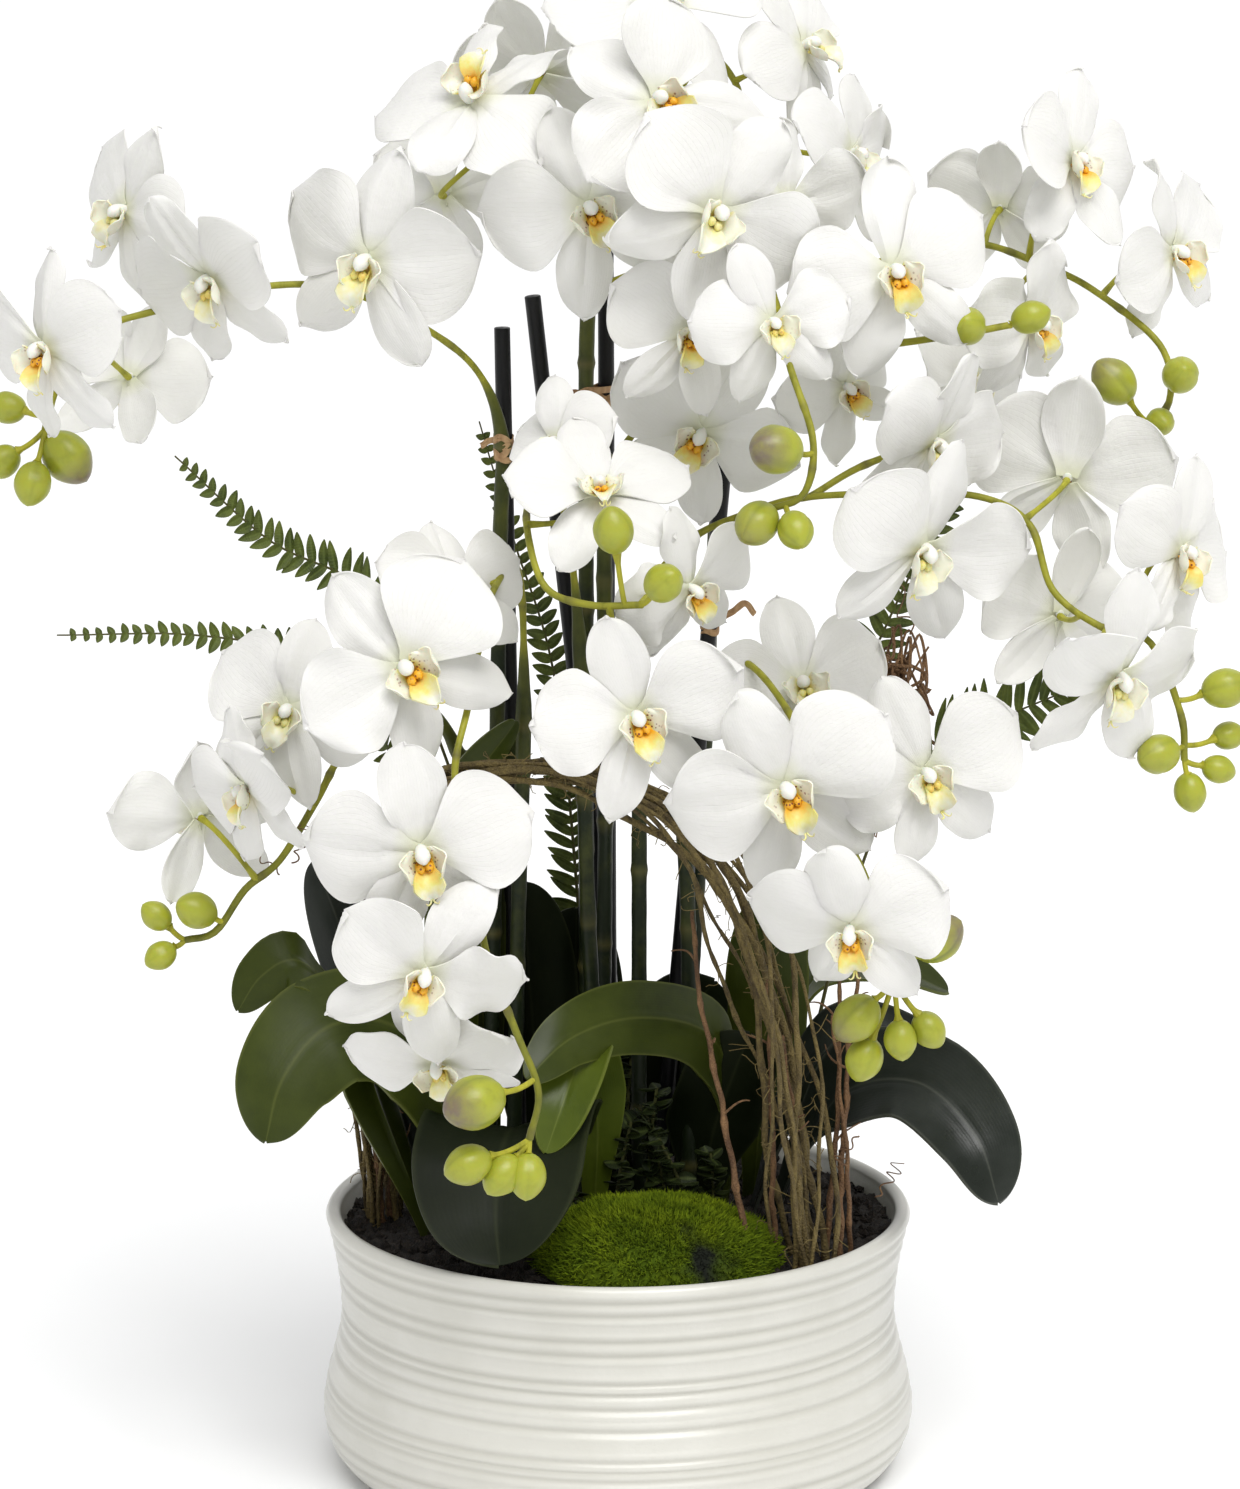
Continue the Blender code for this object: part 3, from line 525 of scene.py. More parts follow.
@dataclass(frozen=True)
class Petal:
    """White petal: faint veins from the claw, a cool sheen, and green-cream at the throat."""

    white: Colour = (0.745, 0.738, 0.708)
    shade: Colour = (0.685, 0.675, 0.635)
    throat: Colour = (0.66, 0.68, 0.44)
    under: Colour = (0.64, 0.63, 0.575)

    def make(self) -> Finish:
        """Builds the material."""
        bench = Bench("orchid_petal", 0.52, Subsurface_Weight=0.22, Subsurface_Scale=0.004,
                      Subsurface_Radius=(0.8, 0.9, 0.7), Sheen_Weight=0.12, Sheen_Roughness=0.5)
        along, across = bench.value("along"), bench.value("across")
        wobble = bench.sums("MULTIPLY_ADD", bench.noise(45.0, 3.0), 0.10, across)
        vein = bench.sums("ABSOLUTE", bench.sums("SINE", bench.sums("MULTIPLY", wobble, 34.0)))
        line = bench.spread(vein, 0.0, 0.32, 1.0, 0.0)
        fading = bench.sums("MULTIPLY", line, bench.spread(along, 0.15, 0.95, 0.35, 0.10))
        cloud = bench.spread(bench.noise(38.0, 4.0), 0.30, 0.75)
        colour = bench.blend(bench.sums("MULTIPLY", cloud, 0.5), self.white, self.shade)
        colour = bench.blend(bench.sums("MULTIPLY", fading, 0.55), colour, self.under)
        colour = bench.blend(bench.value("back"), colour, self.under)
        colour = bench.blend(bench.spread(along, 0.02, 0.24, 0.75, 0.0), colour, self.throat)
        crumple = bench.sums("MULTIPLY_ADD", bench.noise(55.0, 3.0), 1.6, bench.noise(190.0, 4.0))
        bench.relief(bench.sums("MULTIPLY_ADD", line, -0.18, crumple), 0.50, 0.0009)
        return bench.dress(colour, bench.spread(cloud, 0.0, 1.0, 0.46, 0.60))


@dataclass(frozen=True)
class LipFlesh:
    """Cream lip and column with a gold callus and wine-red flecks."""

    cream: Colour = (0.76, 0.76, 0.63)
    gold: Colour = (0.78, 0.40, 0.02)
    lemon: Colour = (0.72, 0.66, 0.20)
    wine: Colour = (0.16, 0.02, 0.015)

    def make(self) -> Finish:
        """Builds the material."""
        bench = Bench("orchid_lip", 0.42, Subsurface_Weight=0.18, Subsurface_Scale=0.002)
        gold = bench.value("gold")
        mottled = bench.sums("MULTIPLY_ADD", bench.noise(260.0, 3.0), 0.45, gold)
        colour = bench.ramp(mottled, (0.34, self.cream), (0.66, self.lemon), (1.0, self.gold))
        colour = bench.blend(bench.value("white"), colour, (0.78, 0.78, 0.72))
        spots = bench.spread(bench.cells(520.0), 0.24, 0.32, 1.0, 0.0)
        colour = bench.blend(bench.sums("MULTIPLY", spots, bench.value("flecks")), colour, self.wine)
        bench.relief(bench.noise(500.0, 4.0), 0.30, 0.0005)
        return bench.dress(colour)


@dataclass(frozen=True)
class Bark:
    """A grown stem: dark cane below, yellow-green where it is young, with a rough skin."""

    name: str = "orchid_stem"
    old: Colour = (0.009, 0.016, 0.004)
    middle: Colour = (0.11, 0.12, 0.014)
    young: Colour = (0.40, 0.38, 0.028)

    def make(self) -> Finish:
        """Builds the material."""
        bench = Bench(self.name, 0.45, Specular_IOR_Level=0.3)
        streaks = bench.noise(160.0, 4.0, bench.stretched((1.0, 1.0, 0.12)))
        age = bench.sums("MULTIPLY_ADD", bench.sums("SUBTRACT", bench.noise(70.0, 4.0), 0.5), 0.45,
                         bench.value("young"))
        colour = bench.ramp(age, (0.15, self.old), (0.52, self.middle), (0.92, self.young))
        dark_streaks = bench.sums("MULTIPLY", bench.spread(streaks, 0.52, 0.72), 0.45)
        colour = bench.blend(dark_streaks, colour, self.old)
        colour = bench.blend(bench.value("joint"), colour, (0.11, 0.10, 0.030))
        bench.relief(bench.sums("ADD", streaks, bench.noise(900.0, 3.0)), 0.40, 0.0005)
        return bench.dress(colour, bench.spread(streaks, 0.3, 0.7, 0.38, 0.60))


@dataclass(frozen=True)
class BudSkin:
    """Waxy bud: lime green, darker in its seams, with a mauve blush towards a big bud's tip."""

    lime: Colour = (0.34, 0.36, 0.028)
    olive: Colour = (0.13, 0.16, 0.014)
    mauve: Colour = (0.17, 0.125, 0.095)

    def make(self) -> Finish:
        """Builds the material."""
        bench = Bench("orchid_bud", 0.38, Subsurface_Weight=0.12, Subsurface_Scale=0.003)
        mottle = bench.noise(170.0, 5.0)
        blush = bench.value("blush")
        colour = bench.blend(bench.spread(mottle, 0.50, 0.75, 0.0, 0.30), self.lime, self.olive)
        colour = bench.blend(bench.value("seam"), colour, self.olive)
        colour = bench.blend(bench.sums("MULTIPLY", blush, bench.spread(mottle, 0.2, 0.6, 0.5, 1.0)),
                             colour, self.mauve)
        bench.relief(bench.sums("ADD", mottle, bench.noise(800.0, 2.0)), 0.25, 0.0004)
        return bench.dress(colour)


@dataclass(frozen=True)
class LeafSkin:
    """Thick leaf with fine lengthwise veins, a pale line down its middle and lighter edges."""

    name: str
    face: Colour
    tint: Colour
    edge: Colour
    gloss: float = 0.34

    def make(self) -> Finish:
        """Builds the material."""
        bench = Bench(self.name, self.gloss, Specular_IOR_Level=0.50 - self.gloss * 0.75)
        along, across = bench.value("along"), bench.value("across")
        off = bench.sums("ABSOLUTE", across)
        wander = bench.sums("MULTIPLY_ADD", bench.noise(30.0, 2.0), 0.05, across)
        veins = bench.sums("SINE", bench.sums("MULTIPLY", wander, 90.0))
        cloud = bench.noise(26.0, 5.0)
        colour = bench.blend(bench.spread(cloud, 0.35, 0.70), self.face, self.tint)
        colour = bench.blend(bench.spread(veins, 0.2, 1.0, 0.0, 0.12), colour, self.tint)
        colour = bench.blend(bench.spread(off, 0.0, 0.05, 0.55, 0.0), colour, self.edge)
        colour = bench.blend(bench.spread(off, 0.93, 1.0, 0.0, 0.8), colour, self.edge)
        colour = bench.blend(bench.spread(along, 0.0, 0.25, 0.35, 0.0), colour, self.face)
        height = bench.sums("MULTIPLY_ADD", veins, 0.06, bench.noise(240.0, 4.0))
        bench.relief(height, 0.22, 0.0004)
        return bench.dress(colour, bench.spread(cloud, 0.3, 0.7, self.gloss - 0.06, self.gloss + 0.12))


@dataclass(frozen=True)
class Grit:
    """A rough, speckled finish for soil and wood, from a dark and a light colour."""

    name: str
    dark: Colour
    light: Colour
    scale: float
    roughness: float
    depth: float
    grain: Place = (1.0, 1.0, 1.0)

    def make(self) -> Finish:
        """Builds the material."""
        bench = Bench(self.name, self.roughness)
        pattern = bench.noise(self.scale, 8.0, bench.stretched(self.grain), 0.68)
        share = bench.sums("ADD", bench.spread(pattern, 0.38, 0.68), bench.value("light"))
        colour = bench.blend(share, self.dark, self.light)
        fine = bench.cells(self.scale * 4)
        bench.relief(bench.sums("ADD", pattern, fine), 0.8, self.depth)
        dull = bench.spread(pattern, 0.3, 0.7, self.roughness - 0.1, self.roughness + 0.04)
        return bench.dress(colour, dull)


@dataclass(frozen=True)
class MossPile:
    """Short moss fibres: deep olive at the root and bright at the tip, in patches."""

    root: Colour = (0.030, 0.058, 0.004)
    tip: Colour = (0.19, 0.27, 0.010)
    fresh: Colour = (0.33, 0.42, 0.015)

    def make(self) -> Finish:
        """Builds the material."""
        bench = Bench("moss_pile", 0.85, Specular_IOR_Level=0.1)
        patches = bench.spread(bench.noise(55.0, 4.0), 0.42, 0.66)
        colour = bench.blend(patches, self.tip, self.fresh)
        colour = bench.blend(bench.value("height"), self.root, colour)
        colour = bench.blend(bench.value("bare"), colour, (0.012, 0.014, 0.010))
        bench.relief(bench.noise(1500.0, 3.0), 0.5, 0.0004)
        return bench.dress(colour)


@dataclass(frozen=True)
class Plain:
    """A finish of one base colour with mottling, brushed fibres and a fine tooth."""

    name: str
    colour: Colour
    lighter: Colour
    roughness: float
    scale: float
    depth: float
    grain: Place = (1.0, 1.0, 1.0)

    def make(self) -> Finish:
        """Builds the material."""
        bench = Bench(self.name, self.roughness, Specular_IOR_Level=0.25)
        fibres = bench.noise(self.scale, 6.0, bench.stretched(self.grain))
        colour = bench.blend(bench.spread(fibres, 0.35, 0.68), self.colour, self.lighter)
        bench.relief(bench.sums("ADD", fibres, bench.noise(self.scale * 5, 3.0)), 0.5, self.depth)
        dull = bench.spread(fibres, 0.3, 0.7, self.roughness - 0.08, self.roughness + 0.1)
        return bench.dress(colour, dull)


# Pot, soil, moss, stakes


@dataclass
class Bowl:
    """The turned bowl: flared rim, drawn-in waist, full belly, rounded foot and combed rings."""

    waist_inset: float = 0.008
    waist_height: float = 0.078
    belly_outset: float = 0.001
    belly_height: float = 0.030
    foot_radius: float = 0.118
    floor: float = 0.009
    rings: tuple[float, ...] = (0.1204, 0.1138, 0.1006, 0.0936, 0.0795, 0.0747, 0.0678, 0.0581,
                                0.0445, 0.0401, 0.0364, 0.0240, 0.0165)
    ring_depth: float = 0.0008
    ring_width: float = 0.0014
    ridge: float = 0.0004
    sides: int = 192
    rows: int = 300

    def wall(self, height: np.ndarray) -> np.ndarray:
        """Gives the smooth outer radius at each height."""
        waist, belly = POT_RADIUS - self.waist_inset, POT_RADIUS + self.belly_outset
        upper = np.clip((height - self.waist_height) / (POT_HEIGHT - self.waist_height), 0, 1)
        lower = eased((self.waist_height - height) / (self.waist_height - self.belly_height))
        foot = np.clip(height / self.belly_height, 0, 1)
        rounded = self.foot_radius + (belly - self.foot_radius) * np.sqrt(1 - (1 - foot) ** 2)
        body = waist + self.waist_inset * upper ** 1.8 + (belly - waist) * lower
        return np.where(height < self.belly_height, rounded, body)

    def groove(self, height: np.ndarray) -> np.ndarray:
        """Gives how deep in a combed ring each height is, from 0 to 1."""
        gaps = np.abs(height[:, None] - np.array(self.rings)) / self.ring_width
        return np.exp(-gaps ** 2).max(axis=1)

    def swell(self, height: np.ndarray) -> np.ndarray:
        """Gives the soft ridge that the comb pushed up beside each ring, from 0 to 1."""
        gaps = (np.abs(height[:, None] - np.array(self.rings)) - 2.3 * self.ring_width) / self.ring_width
        return np.exp(-gaps ** 2).max(axis=1)

    def build(self) -> bpy.types.Object:
        """Turns the bowl about its axis.

        Returns:
            The bowl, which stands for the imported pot.
        """
        lip = POT_WALL / 2
        heights = np.linspace(0.0012, POT_HEIGHT - lip, self.rows)
        groove, swell = self.groove(heights), self.swell(heights)
        radii = self.wall(heights) - self.ring_depth * groove + self.ridge * swell
        centre = self.wall(np.array([POT_HEIGHT - lip]))[0] - lip
        turn = np.linspace(0, math.pi, 17)[1:-1]
        inside = np.linspace(POT_HEIGHT - lip, SOIL_TOP - 0.006, 10)
        radius = np.concatenate(([0.0005, self.foot_radius - 0.006, self.foot_radius - 0.0012], radii,
                                 centre + lip * np.cos(turn), self.wall(inside) - POT_WALL))
        height = np.concatenate(([0.0, 0.0, 0.0002], heights, POT_HEIGHT - lip + lip * np.sin(turn), inside))
        # how deep in a ring each row is; the glaze darkens these rows as painted shade
        mark = np.concatenate(([0.0, 0.0, 0.0], groove, np.zeros(len(turn) + len(inside))))
        angle = full_turn(self.sides)
        points = np.stack((radius[:, None] * np.cos(angle), radius[:, None] * np.sin(angle),
                           np.repeat(height[:, None], self.sides, axis=1)), -1)
        shape = Shape()
        shape.add(points.reshape(-1, 3), grid_faces(len(radius), self.sides, True),
                  groove=np.repeat(mark, self.sides))
        return shape.finish("bowl", Glaze().make(), Slot.POT, ["pot"], 70)


@dataclass
class SoilBed:
    """Dark crumbly potting soil: a lumpy surface with loose crumbs on it."""

    crumbs: int = 2600
    lump: float = 0.0016

    def build(self) -> bpy.types.Object:
        """Builds the bed and its crumbs.

        Returns:
            The soil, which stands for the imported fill.
        """
        draw = np.random.default_rng(11)
        reach = RIM_INNER_RADIUS - 0.0009
        rings = reach * np.sqrt(np.linspace(0.0004, 1.0, 90))
        angle = full_turn(200)
        flat = np.stack((rings[:, None] * np.cos(angle), rings[:, None] * np.sin(angle),
                         np.full((len(rings), len(angle)), SOIL_TOP)), -1)
        lumps = ripple(flat, 0.020, 3) * 0.9 + ripple(flat, 0.007, 5) * 0.8 + ripple(flat, 0.003, 8) * 0.6
        flat[..., 2] += self.lump * lumps
        shape = Shape()
        shape.add(flat.reshape(-1, 3), grid_faces(len(rings), len(angle), True))
        corners = np.array([(1, 0, 0), (-1, 0, 0), (0, 1, 0), (0, -1, 0), (0, 0, 1), (0, 0, -1)], float)
        sides = [(0, 2, 4), (2, 1, 4), (1, 3, 4), (3, 0, 4), (2, 0, 5), (1, 2, 5), (3, 1, 5), (0, 3, 5)]
        for _ in range(self.crumbs):
            distance, turn = reach * math.sqrt(draw.random()) * 0.985, draw.uniform(0, 2 * math.pi)
            size = 0.0007 + 0.0021 * draw.random() ** 2
            stone = corners * draw.uniform(0.55, 1.25, (6, 1)) * size + draw.normal(0, 0.12, (6, 3)) * size
            place = (distance * math.cos(turn), distance * math.sin(turn), SOIL_TOP + size * 0.35)
            shape.add(stone + place, sides, light=draw.random() ** 5 * 0.8)
        finish = Grit("potting_soil", (0.006, 0.0045, 0.0035), (0.040, 0.028, 0.019), 320.0, 0.92, 0.0016)
        return shape.finish("soil_bed", finish.make(), Slot.SOIL, ["soil"], 60)


@dataclass
class MossCushion:
    """A low cushion of moss: a lumpy dome under thousands of short fibres."""

    blades: int = 17000
    pile: float = 4.0
    rows: int = 26
    columns: int = 96
    bare_place: tuple[float, float] = (40.0, -113.0)
    bare_reach: float = 11.0

    def dome(self, spin: np.ndarray, share: np.ndarray) -> np.ndarray:
        """Gives places on the dome.

        Args:
            spin: Angles about the middle.
            share: How far out each place is, from 0 at the top to 1 at the edge.

        Returns:
            The places in metres.
        """
        swell = 1.0 + 0.05 * np.sin(3 * spin + 0.6) + 0.03 * np.sin(5 * spin)
        x = MOSS_CENTRE[0] + MOSS_HALF_LENGTH * swell * share * np.cos(spin)
        y = MOSS_CENTRE[1] + MOSS_HALF_DEPTH * swell * share * np.sin(spin)
        height = (MOSS_HEIGHT - self.pile) * np.sqrt(np.clip(1 - share ** 2.2, 0, 1))
        places = above_soil(np.stack((x, y, height), -1))
        places[..., 2] += 0.0014 * ripple(places, 0.016, 21) + 0.0007 * ripple(places, 0.006, 22)
        return places

    def bareness(self, places: np.ndarray) -> np.ndarray:
        """Gives 1 in the dark worn patch, 0 away from it, for each place."""
        away = np.linalg.norm(places[..., :2] / MM - self.bare_place, axis=-1)
        return np.clip(1.35 - away / self.bare_reach + 0.45 * ripple(places, 0.012, 25), 0, 1)

    def build(self) -> bpy.types.Object:
        """Builds the dome and its fibres.

        Returns:
            The moss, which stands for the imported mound.
        """
        draw = np.random.default_rng(17)
        spin, share = np.meshgrid(np.linspace(0, 2 * math.pi, self.columns + 1)[:-1],
                                  np.linspace(0.02, 1.0, self.rows))
        points = self.dome(spin, share)
        shape = Shape()
        shape.add(points.reshape(-1, 3), grid_faces(self.rows, self.columns, True), height=0.25,
                  bare=self.bareness(points).reshape(-1))
        turns, reaches = draw.uniform(0, 2 * math.pi, self.blades), np.sqrt(draw.random(self.blades))
        roots = self.dome(turns, reaches)
        bare = self.bareness(roots)
        out = units(np.stack((np.cos(turns) * reaches, np.sin(turns) * reaches, 1.15 - reaches * 0.75), -1))
        lean = units(out + draw.normal(0, 0.38, (self.blades, 3)))
        side = units(np.cross(lean, draw.normal(size=(self.blades, 3))))
        length = draw.uniform(0.0025, 0.0056, (self.blades, 1)) * (1 - 0.75 * bare[:, None])
        width = draw.uniform(0.00018, 0.00034, (self.blades, 1))
        depth = np.cross(lean, side) * width
        base, middle = roots - lean * 0.0006, roots + lean * length * 0.55
        tip = roots + lean * length + draw.normal(0, 0.0004, (self.blades, 3))
        for low, high, heart, point, bare_here in zip(
                np.stack((base - side * width, base + side * width, base + depth), 1),
                np.stack((middle - side * width, middle + side * width, middle + depth), 1),
                draw.uniform(0.55, 1.0, self.blades), tip, bare):
            shape.add(np.vstack((low, high, point)),
                      [(0, 2, 1), (0, 1, 4, 3), (1, 2, 5, 4), (2, 0, 3, 5), (3, 4, 6), (4, 5, 6), (5, 3, 6)],
                      height=np.array([0, 0, 0, 0.55, 0.55, 0.55, 1.0]) * heart, bare=bare_here)
        return shape.finish("moss_cushion", MossPile().make(), Slot.MOSS, ["moss_mound"], 80)


@dataclass
class StakeSet:
    """The black support stakes, with eased flat tops and a faint drawn grain."""

    ends: dict[str, tuple[Place, Place]]
    bevel: float = 0.0006
    rows: int = 90
    sides: int = 32

    def build(self) -> None:
        """Builds each stake, which stands for its packed one."""
        finish = Plain("black_stake", (0.004, 0.004, 0.0045), (0.012, 0.012, 0.013), 0.36, 190.0, 0.0003,
                       (1.0, 1.0, 0.06)).make()
        for name, (foot, top) in self.ends.items():
            start, tip = above_soil(foot) - (0, 0, 0.006), above_soil(top)
            along = units(tip - start)
            path = np.vstack((np.linspace(start, tip - along * self.bevel, self.rows),
                              tip - along * self.bevel * 0.3, tip, tip + along * 1e-5))
            radii = np.concatenate((STAKE_RADIUS + 0.00006 * ripple(path[:self.rows], 0.03, 31),
                                    [STAKE_RADIUS - self.bevel * 0.25, STAKE_RADIUS - self.bevel, 0.0006]))
            shape = Shape()
            shape.add_tube(path, radii, self.sides)
            shape.finish(name + "_pole", finish, Slot.STAKE, [name], 35)


@dataclass
class RaffiaTies:
    """Paper raffia wound round each stake and its stem, with a knot and two cut ends."""

    ties: dict[str, tuple[str, str, float]]
    stakes: dict[str, tuple[Place, Place]]
    stems: dict[str, np.ndarray]
    turns: int = 4
    width: float = 0.0030
    thickness: float = 0.00035

    def crossing(self, path: np.ndarray, height: float) -> np.ndarray:
        """Gives the place where a rising path passes a height."""
        rising = path[:int(np.argmax(path[:, 2])) + 1]
        return read_at(height, rising[:, 2], rising)

    def build(self) -> None:
        """Builds each tie, which stands for its packed loop."""
        finish = Plain("paper_raffia", (0.30, 0.17, 0.080), (0.52, 0.34, 0.18), 0.72, 260.0, 0.0005,
                       (1.0, 1.0, 0.25)).make()
        for number, (name, (stake, spray, height_mm)) in enumerate(self.ties.items()):
            draw = np.random.default_rng(40 + number)
            height = above_soil((0, 0, height_mm))[2]
            post = self.crossing(above_soil(self.stakes[stake]), height)
            stem = self.crossing(self.stems[spray], height)
            middle, along = (post + stem) / 2, units((stem - post) * (1, 1, 0))
            side = np.cross((0, 0, 1.0), along)
            half = np.linalg.norm(stem - post) / 2
            spin = np.linspace(0, 2 * math.pi * self.turns, 40 * self.turns)
            grip = STAKE_RADIUS + 0.0007 + 0.00025 * np.sin(spin * 0.7 + draw.uniform(0, 6))
            reach = half * np.tanh(3 * np.cos(spin)) + grip * np.cos(spin)
            rise = 0.0052 * np.sin(spin * 0.31 + number) + 0.0010 * np.sin(spin * 2.3)
            path = middle + along * reach[:, None] + side * (grip * np.sin(spin))[:, None]
            path[:, 2] = height + rise
            shape = Shape()
            self.strip(shape, path, np.array((0, 0, 1.0)), draw)
            front = middle - side * (STAKE_RADIUS + 0.0016) * np.sign(side[1] + 1e-6)
            for lean in (-1, 1):
                tail = np.array([front, front + (lean * 0.005, -0.003, 0.003),
                                 front + (lean * 0.011, -0.002, draw.uniform(-0.002, 0.009)),
                                 front + (lean * 0.016, 0.001, draw.uniform(-0.004, 0.008))])
                self.strip(shape, smooth_path(tail, 8), np.array((0.1, 0.2, 1.0)), draw)
            shape.finish(name + "_raffia", finish, Slot.RAFFIA, [name], 50)

    def strip(self, shape: Shape, path: np.ndarray, across: np.ndarray, draw: np.random.Generator) -> None:
        """Adds one flat, slightly crumpled strip along a path.

        Args:
            shape: Where the strip goes.
            path: Its middle line.
            across: The direction of its width.
            draw: The source of its crumples.
        """
        along = tangents(path)
        flat = units(across - along * (along @ across)[:, None])
        face = np.cross(along, flat)
        columns = np.linspace(-0.5, 0.5, 5)
        crumple = 0.00035 * np.sin(np.outer(np.arange(len(path)) * 0.45, [1, 1.4, 0.8, 1.9, 1.2])
                                   + draw.uniform(0, 6, 5))
        grid = (path[:, None] + flat[:, None] * columns[:, None] * self.width
                + face[:, None] * crumple[..., None])
        shape.add_sheet(grid, self.thickness)


# Flowers


@dataclass(frozen=True)
class Tepal:
    """The pattern of one petal or sepal, in shares of the flower's span.

    Attributes:
        angle: The direction it grows in, in degrees from the flower's right.
        length: From the flower's middle to the tip.
        half_width: At its broadest.
        widest: How far along it is broadest.
        base: The half width at the claw, as a share of half_width.
        sweep: How far the sides curve back towards the claw.
        layer: How far in front of the flower's middle plane it starts.
        arch: How far its far end bends back.
    """

    angle: float
    length: float
    half_width: float
    widest: float
    base: float
    sweep: float
    layer: float
    arch: float

    def half_widths(self, along: np.ndarray) -> np.ndarray:
        """Gives the half width at each share of the length."""
        growing = eased(along / self.widest) ** 0.8
        closing = np.clip((along - self.widest) / (1 - self.widest), 0, 1)
        outline = (self.base + (1 - self.base) * growing) * np.sqrt(np.clip(1 - closing ** 2.05, 0, 1))
        return self.half_width * np.maximum(outline, 0.012)


PETALS = (
    Tepal(16, 0.535, 0.280, 0.57, 0.16, 0.06, 0.012, 0.085),
    Tepal(164, 0.535, 0.280, 0.57, 0.16, 0.06, 0.015, 0.085),
)
SEPALS = (
    Tepal(90, 0.530, 0.160, 0.54, 0.34, 0.03, -0.004, 0.070),
    Tepal(-57, 0.520, 0.142, 0.50, 0.34, 0.03, -0.007, 0.100),
    Tepal(-123, 0.520, 0.142, 0.50, 0.34, 0.03, -0.010, 0.100),
)
TEPAL_THICKNESS = 0.0006


@dataclass
class Bloom:
    """One open flower: five tepals in one piece, and its lip and column in another.

    Attributes:
        name: What its pieces are called.
        centre: The middle of its face, in millimetres from the middle of the soil.
        azimuth: Degrees from the front that it faces.
        elevation: Degrees above level that it faces.
        roll: Degrees that it is turned about the way it faces.
        percent: Its size, as a percentage of BLOOM_SPAN.
        node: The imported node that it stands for, if any.
        seed: Picks its own small differences.
    """

    name: str
    centre: Place
    azimuth: float
    elevation: float
    roll: float
    percent: float
    node: str | None
    seed: int

    @property
    def span(self) -> float:
        """Gives the flower's width in metres."""
        return BLOOM_SPAN * self.percent / 100

    @property
    def stands_for(self) -> list[str]:
        """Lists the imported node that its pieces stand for, if any."""
        return [self.node] if self.node else []

    def placed(self, local: np.ndarray) -> np.ndarray:
        """Moves points from shares of the span in the flower's own axes to their place."""
        axes = facing_frame(self.azimuth, self.elevation, self.roll)
        return above_soil(self.centre) + (local * self.span) @ axes.T

    def tepal_grid(self, tepal: Tepal, draw: np.random.Generator, rows: int = 24,
                   columns: int = 17) -> tuple[np.ndarray, np.ndarray, np.ndarray]:
        """Shapes one tepal, with its own lean, curl, crease and wavy edge.

        Args:
            tepal: Its pattern.
            draw: The source of its differences.
            rows: Rows of points along it.
            columns: Points across it.

        Returns:
            The grid of points in shares of the span, how far along each is, and how far across.
        """
        along = np.sin(np.linspace(0, math.pi / 2, rows))[:, None] * np.ones(columns)
        across = np.sin(np.linspace(-1, 1, columns) * math.pi / 2)[None, :] * np.ones((rows, 1))
        length = tepal.length * draw.uniform(0.93, 1.03)
        widths = tepal.half_widths(along) * draw.uniform(0.88, 1.05)
        x = length * along - tepal.sweep * length * across ** 2 * along ** 2
        y = widths * across
        wave = draw.uniform(0.010, 0.028) * (1.4 if tepal.half_width > 0.2 else 1.0)
        ruffle = np.sin(along * draw.uniform(5, 13) + across * 1.6 + draw.uniform(0, 6.3))
        swell = np.sin(along * draw.uniform(2.5, 4) + draw.uniform(0, 6.3)) * across
        arch = tepal.arch * draw.uniform(0.3, 1.5)
        cup = draw.uniform(-0.30, 0.35) if tepal.half_width > 0.2 else draw.uniform(0.1, 0.7)
        folds = sum(draw.uniform(-0.018, 0.013) * np.exp(-((across - draw.uniform(-0.7, 0.7)) / 0.16) ** 2)
                    for _ in range(3))
        z = (0.10 * along * (1 - along) - arch * along ** 2.2
             - cup * widths * across ** 2 * 0.5
             + wave * np.abs(across) ** 3 * ruffle * eased(along * 2)
             + 0.026 * swell * along + folds * np.sin(math.pi * along ** 0.8)
             - 0.008 * np.exp(-(across / 0.09) ** 2) * np.sin(math.pi * along))
        lean = math.radians(draw.normal(3, 10))
        twist = math.radians(draw.normal(0, 14)) * along
        y, z = y * np.cos(twist) - z * np.sin(twist), z * np.cos(twist) + y * np.sin(twist)
        x, z = x * math.cos(lean) - z * math.sin(lean), z * math.cos(lean) + x * math.sin(lean)
        turn = math.radians(tepal.angle + draw.normal(0, 5))
        start = 0.018
        grid = np.stack(((x + start) * math.cos(turn) - y * math.sin(turn),
                         (x + start) * math.sin(turn) + y * math.cos(turn),
                         z + tepal.layer), -1)
        return grid, along, across

    def build_tepals(self, finish: Finish) -> bpy.types.Object:
        """Builds the petals and sepals as one piece."""
        draw = np.random.default_rng(1000 + self.seed)
        shape = Shape()
        for tepal in (*SEPALS, *PETALS):
            grid, along, across = self.tepal_grid(tepal, draw)
            shape.add_sheet(self.placed(grid), TEPAL_THICKNESS, along=along, across=across)
        return shape.finish(self.name + "_petals", finish, Slot.PETAL, self.stands_for, 45)

    def lobe(self, path: Line, across: Place,
             widths: tuple[float, ...], cup: float) -> tuple[np.ndarray, np.ndarray, np.ndarray]:
        """Shapes one lobe of the lip as a cupped strap.

        Args:
            path: Its middle line, in shares of the span.
            across: The direction of its width.
            widths: Half widths at even distances along it.
            cup: How far its edges rise, as a share of its half width.

        Returns:
            The grid of points, how far along each is, and how far across.
        """
        middle = spaced(smooth_path(np.array(path), 8), 16)
        direction = tangents(middle)
        side = units(np.array(across) - direction * (direction @ np.array(across))[:, None])
        face = np.cross(direction, side)
        share = np.linspace(0, 1, len(middle))
        half = np.interp(share, np.linspace(0, 1, len(widths)), widths)
        columns = np.linspace(-1, 1, 9)
        grid = strap(middle, side, face, half[:, None] * columns, cup * half[:, None] * columns ** 2)
        return grid, share[:, None], columns[None]

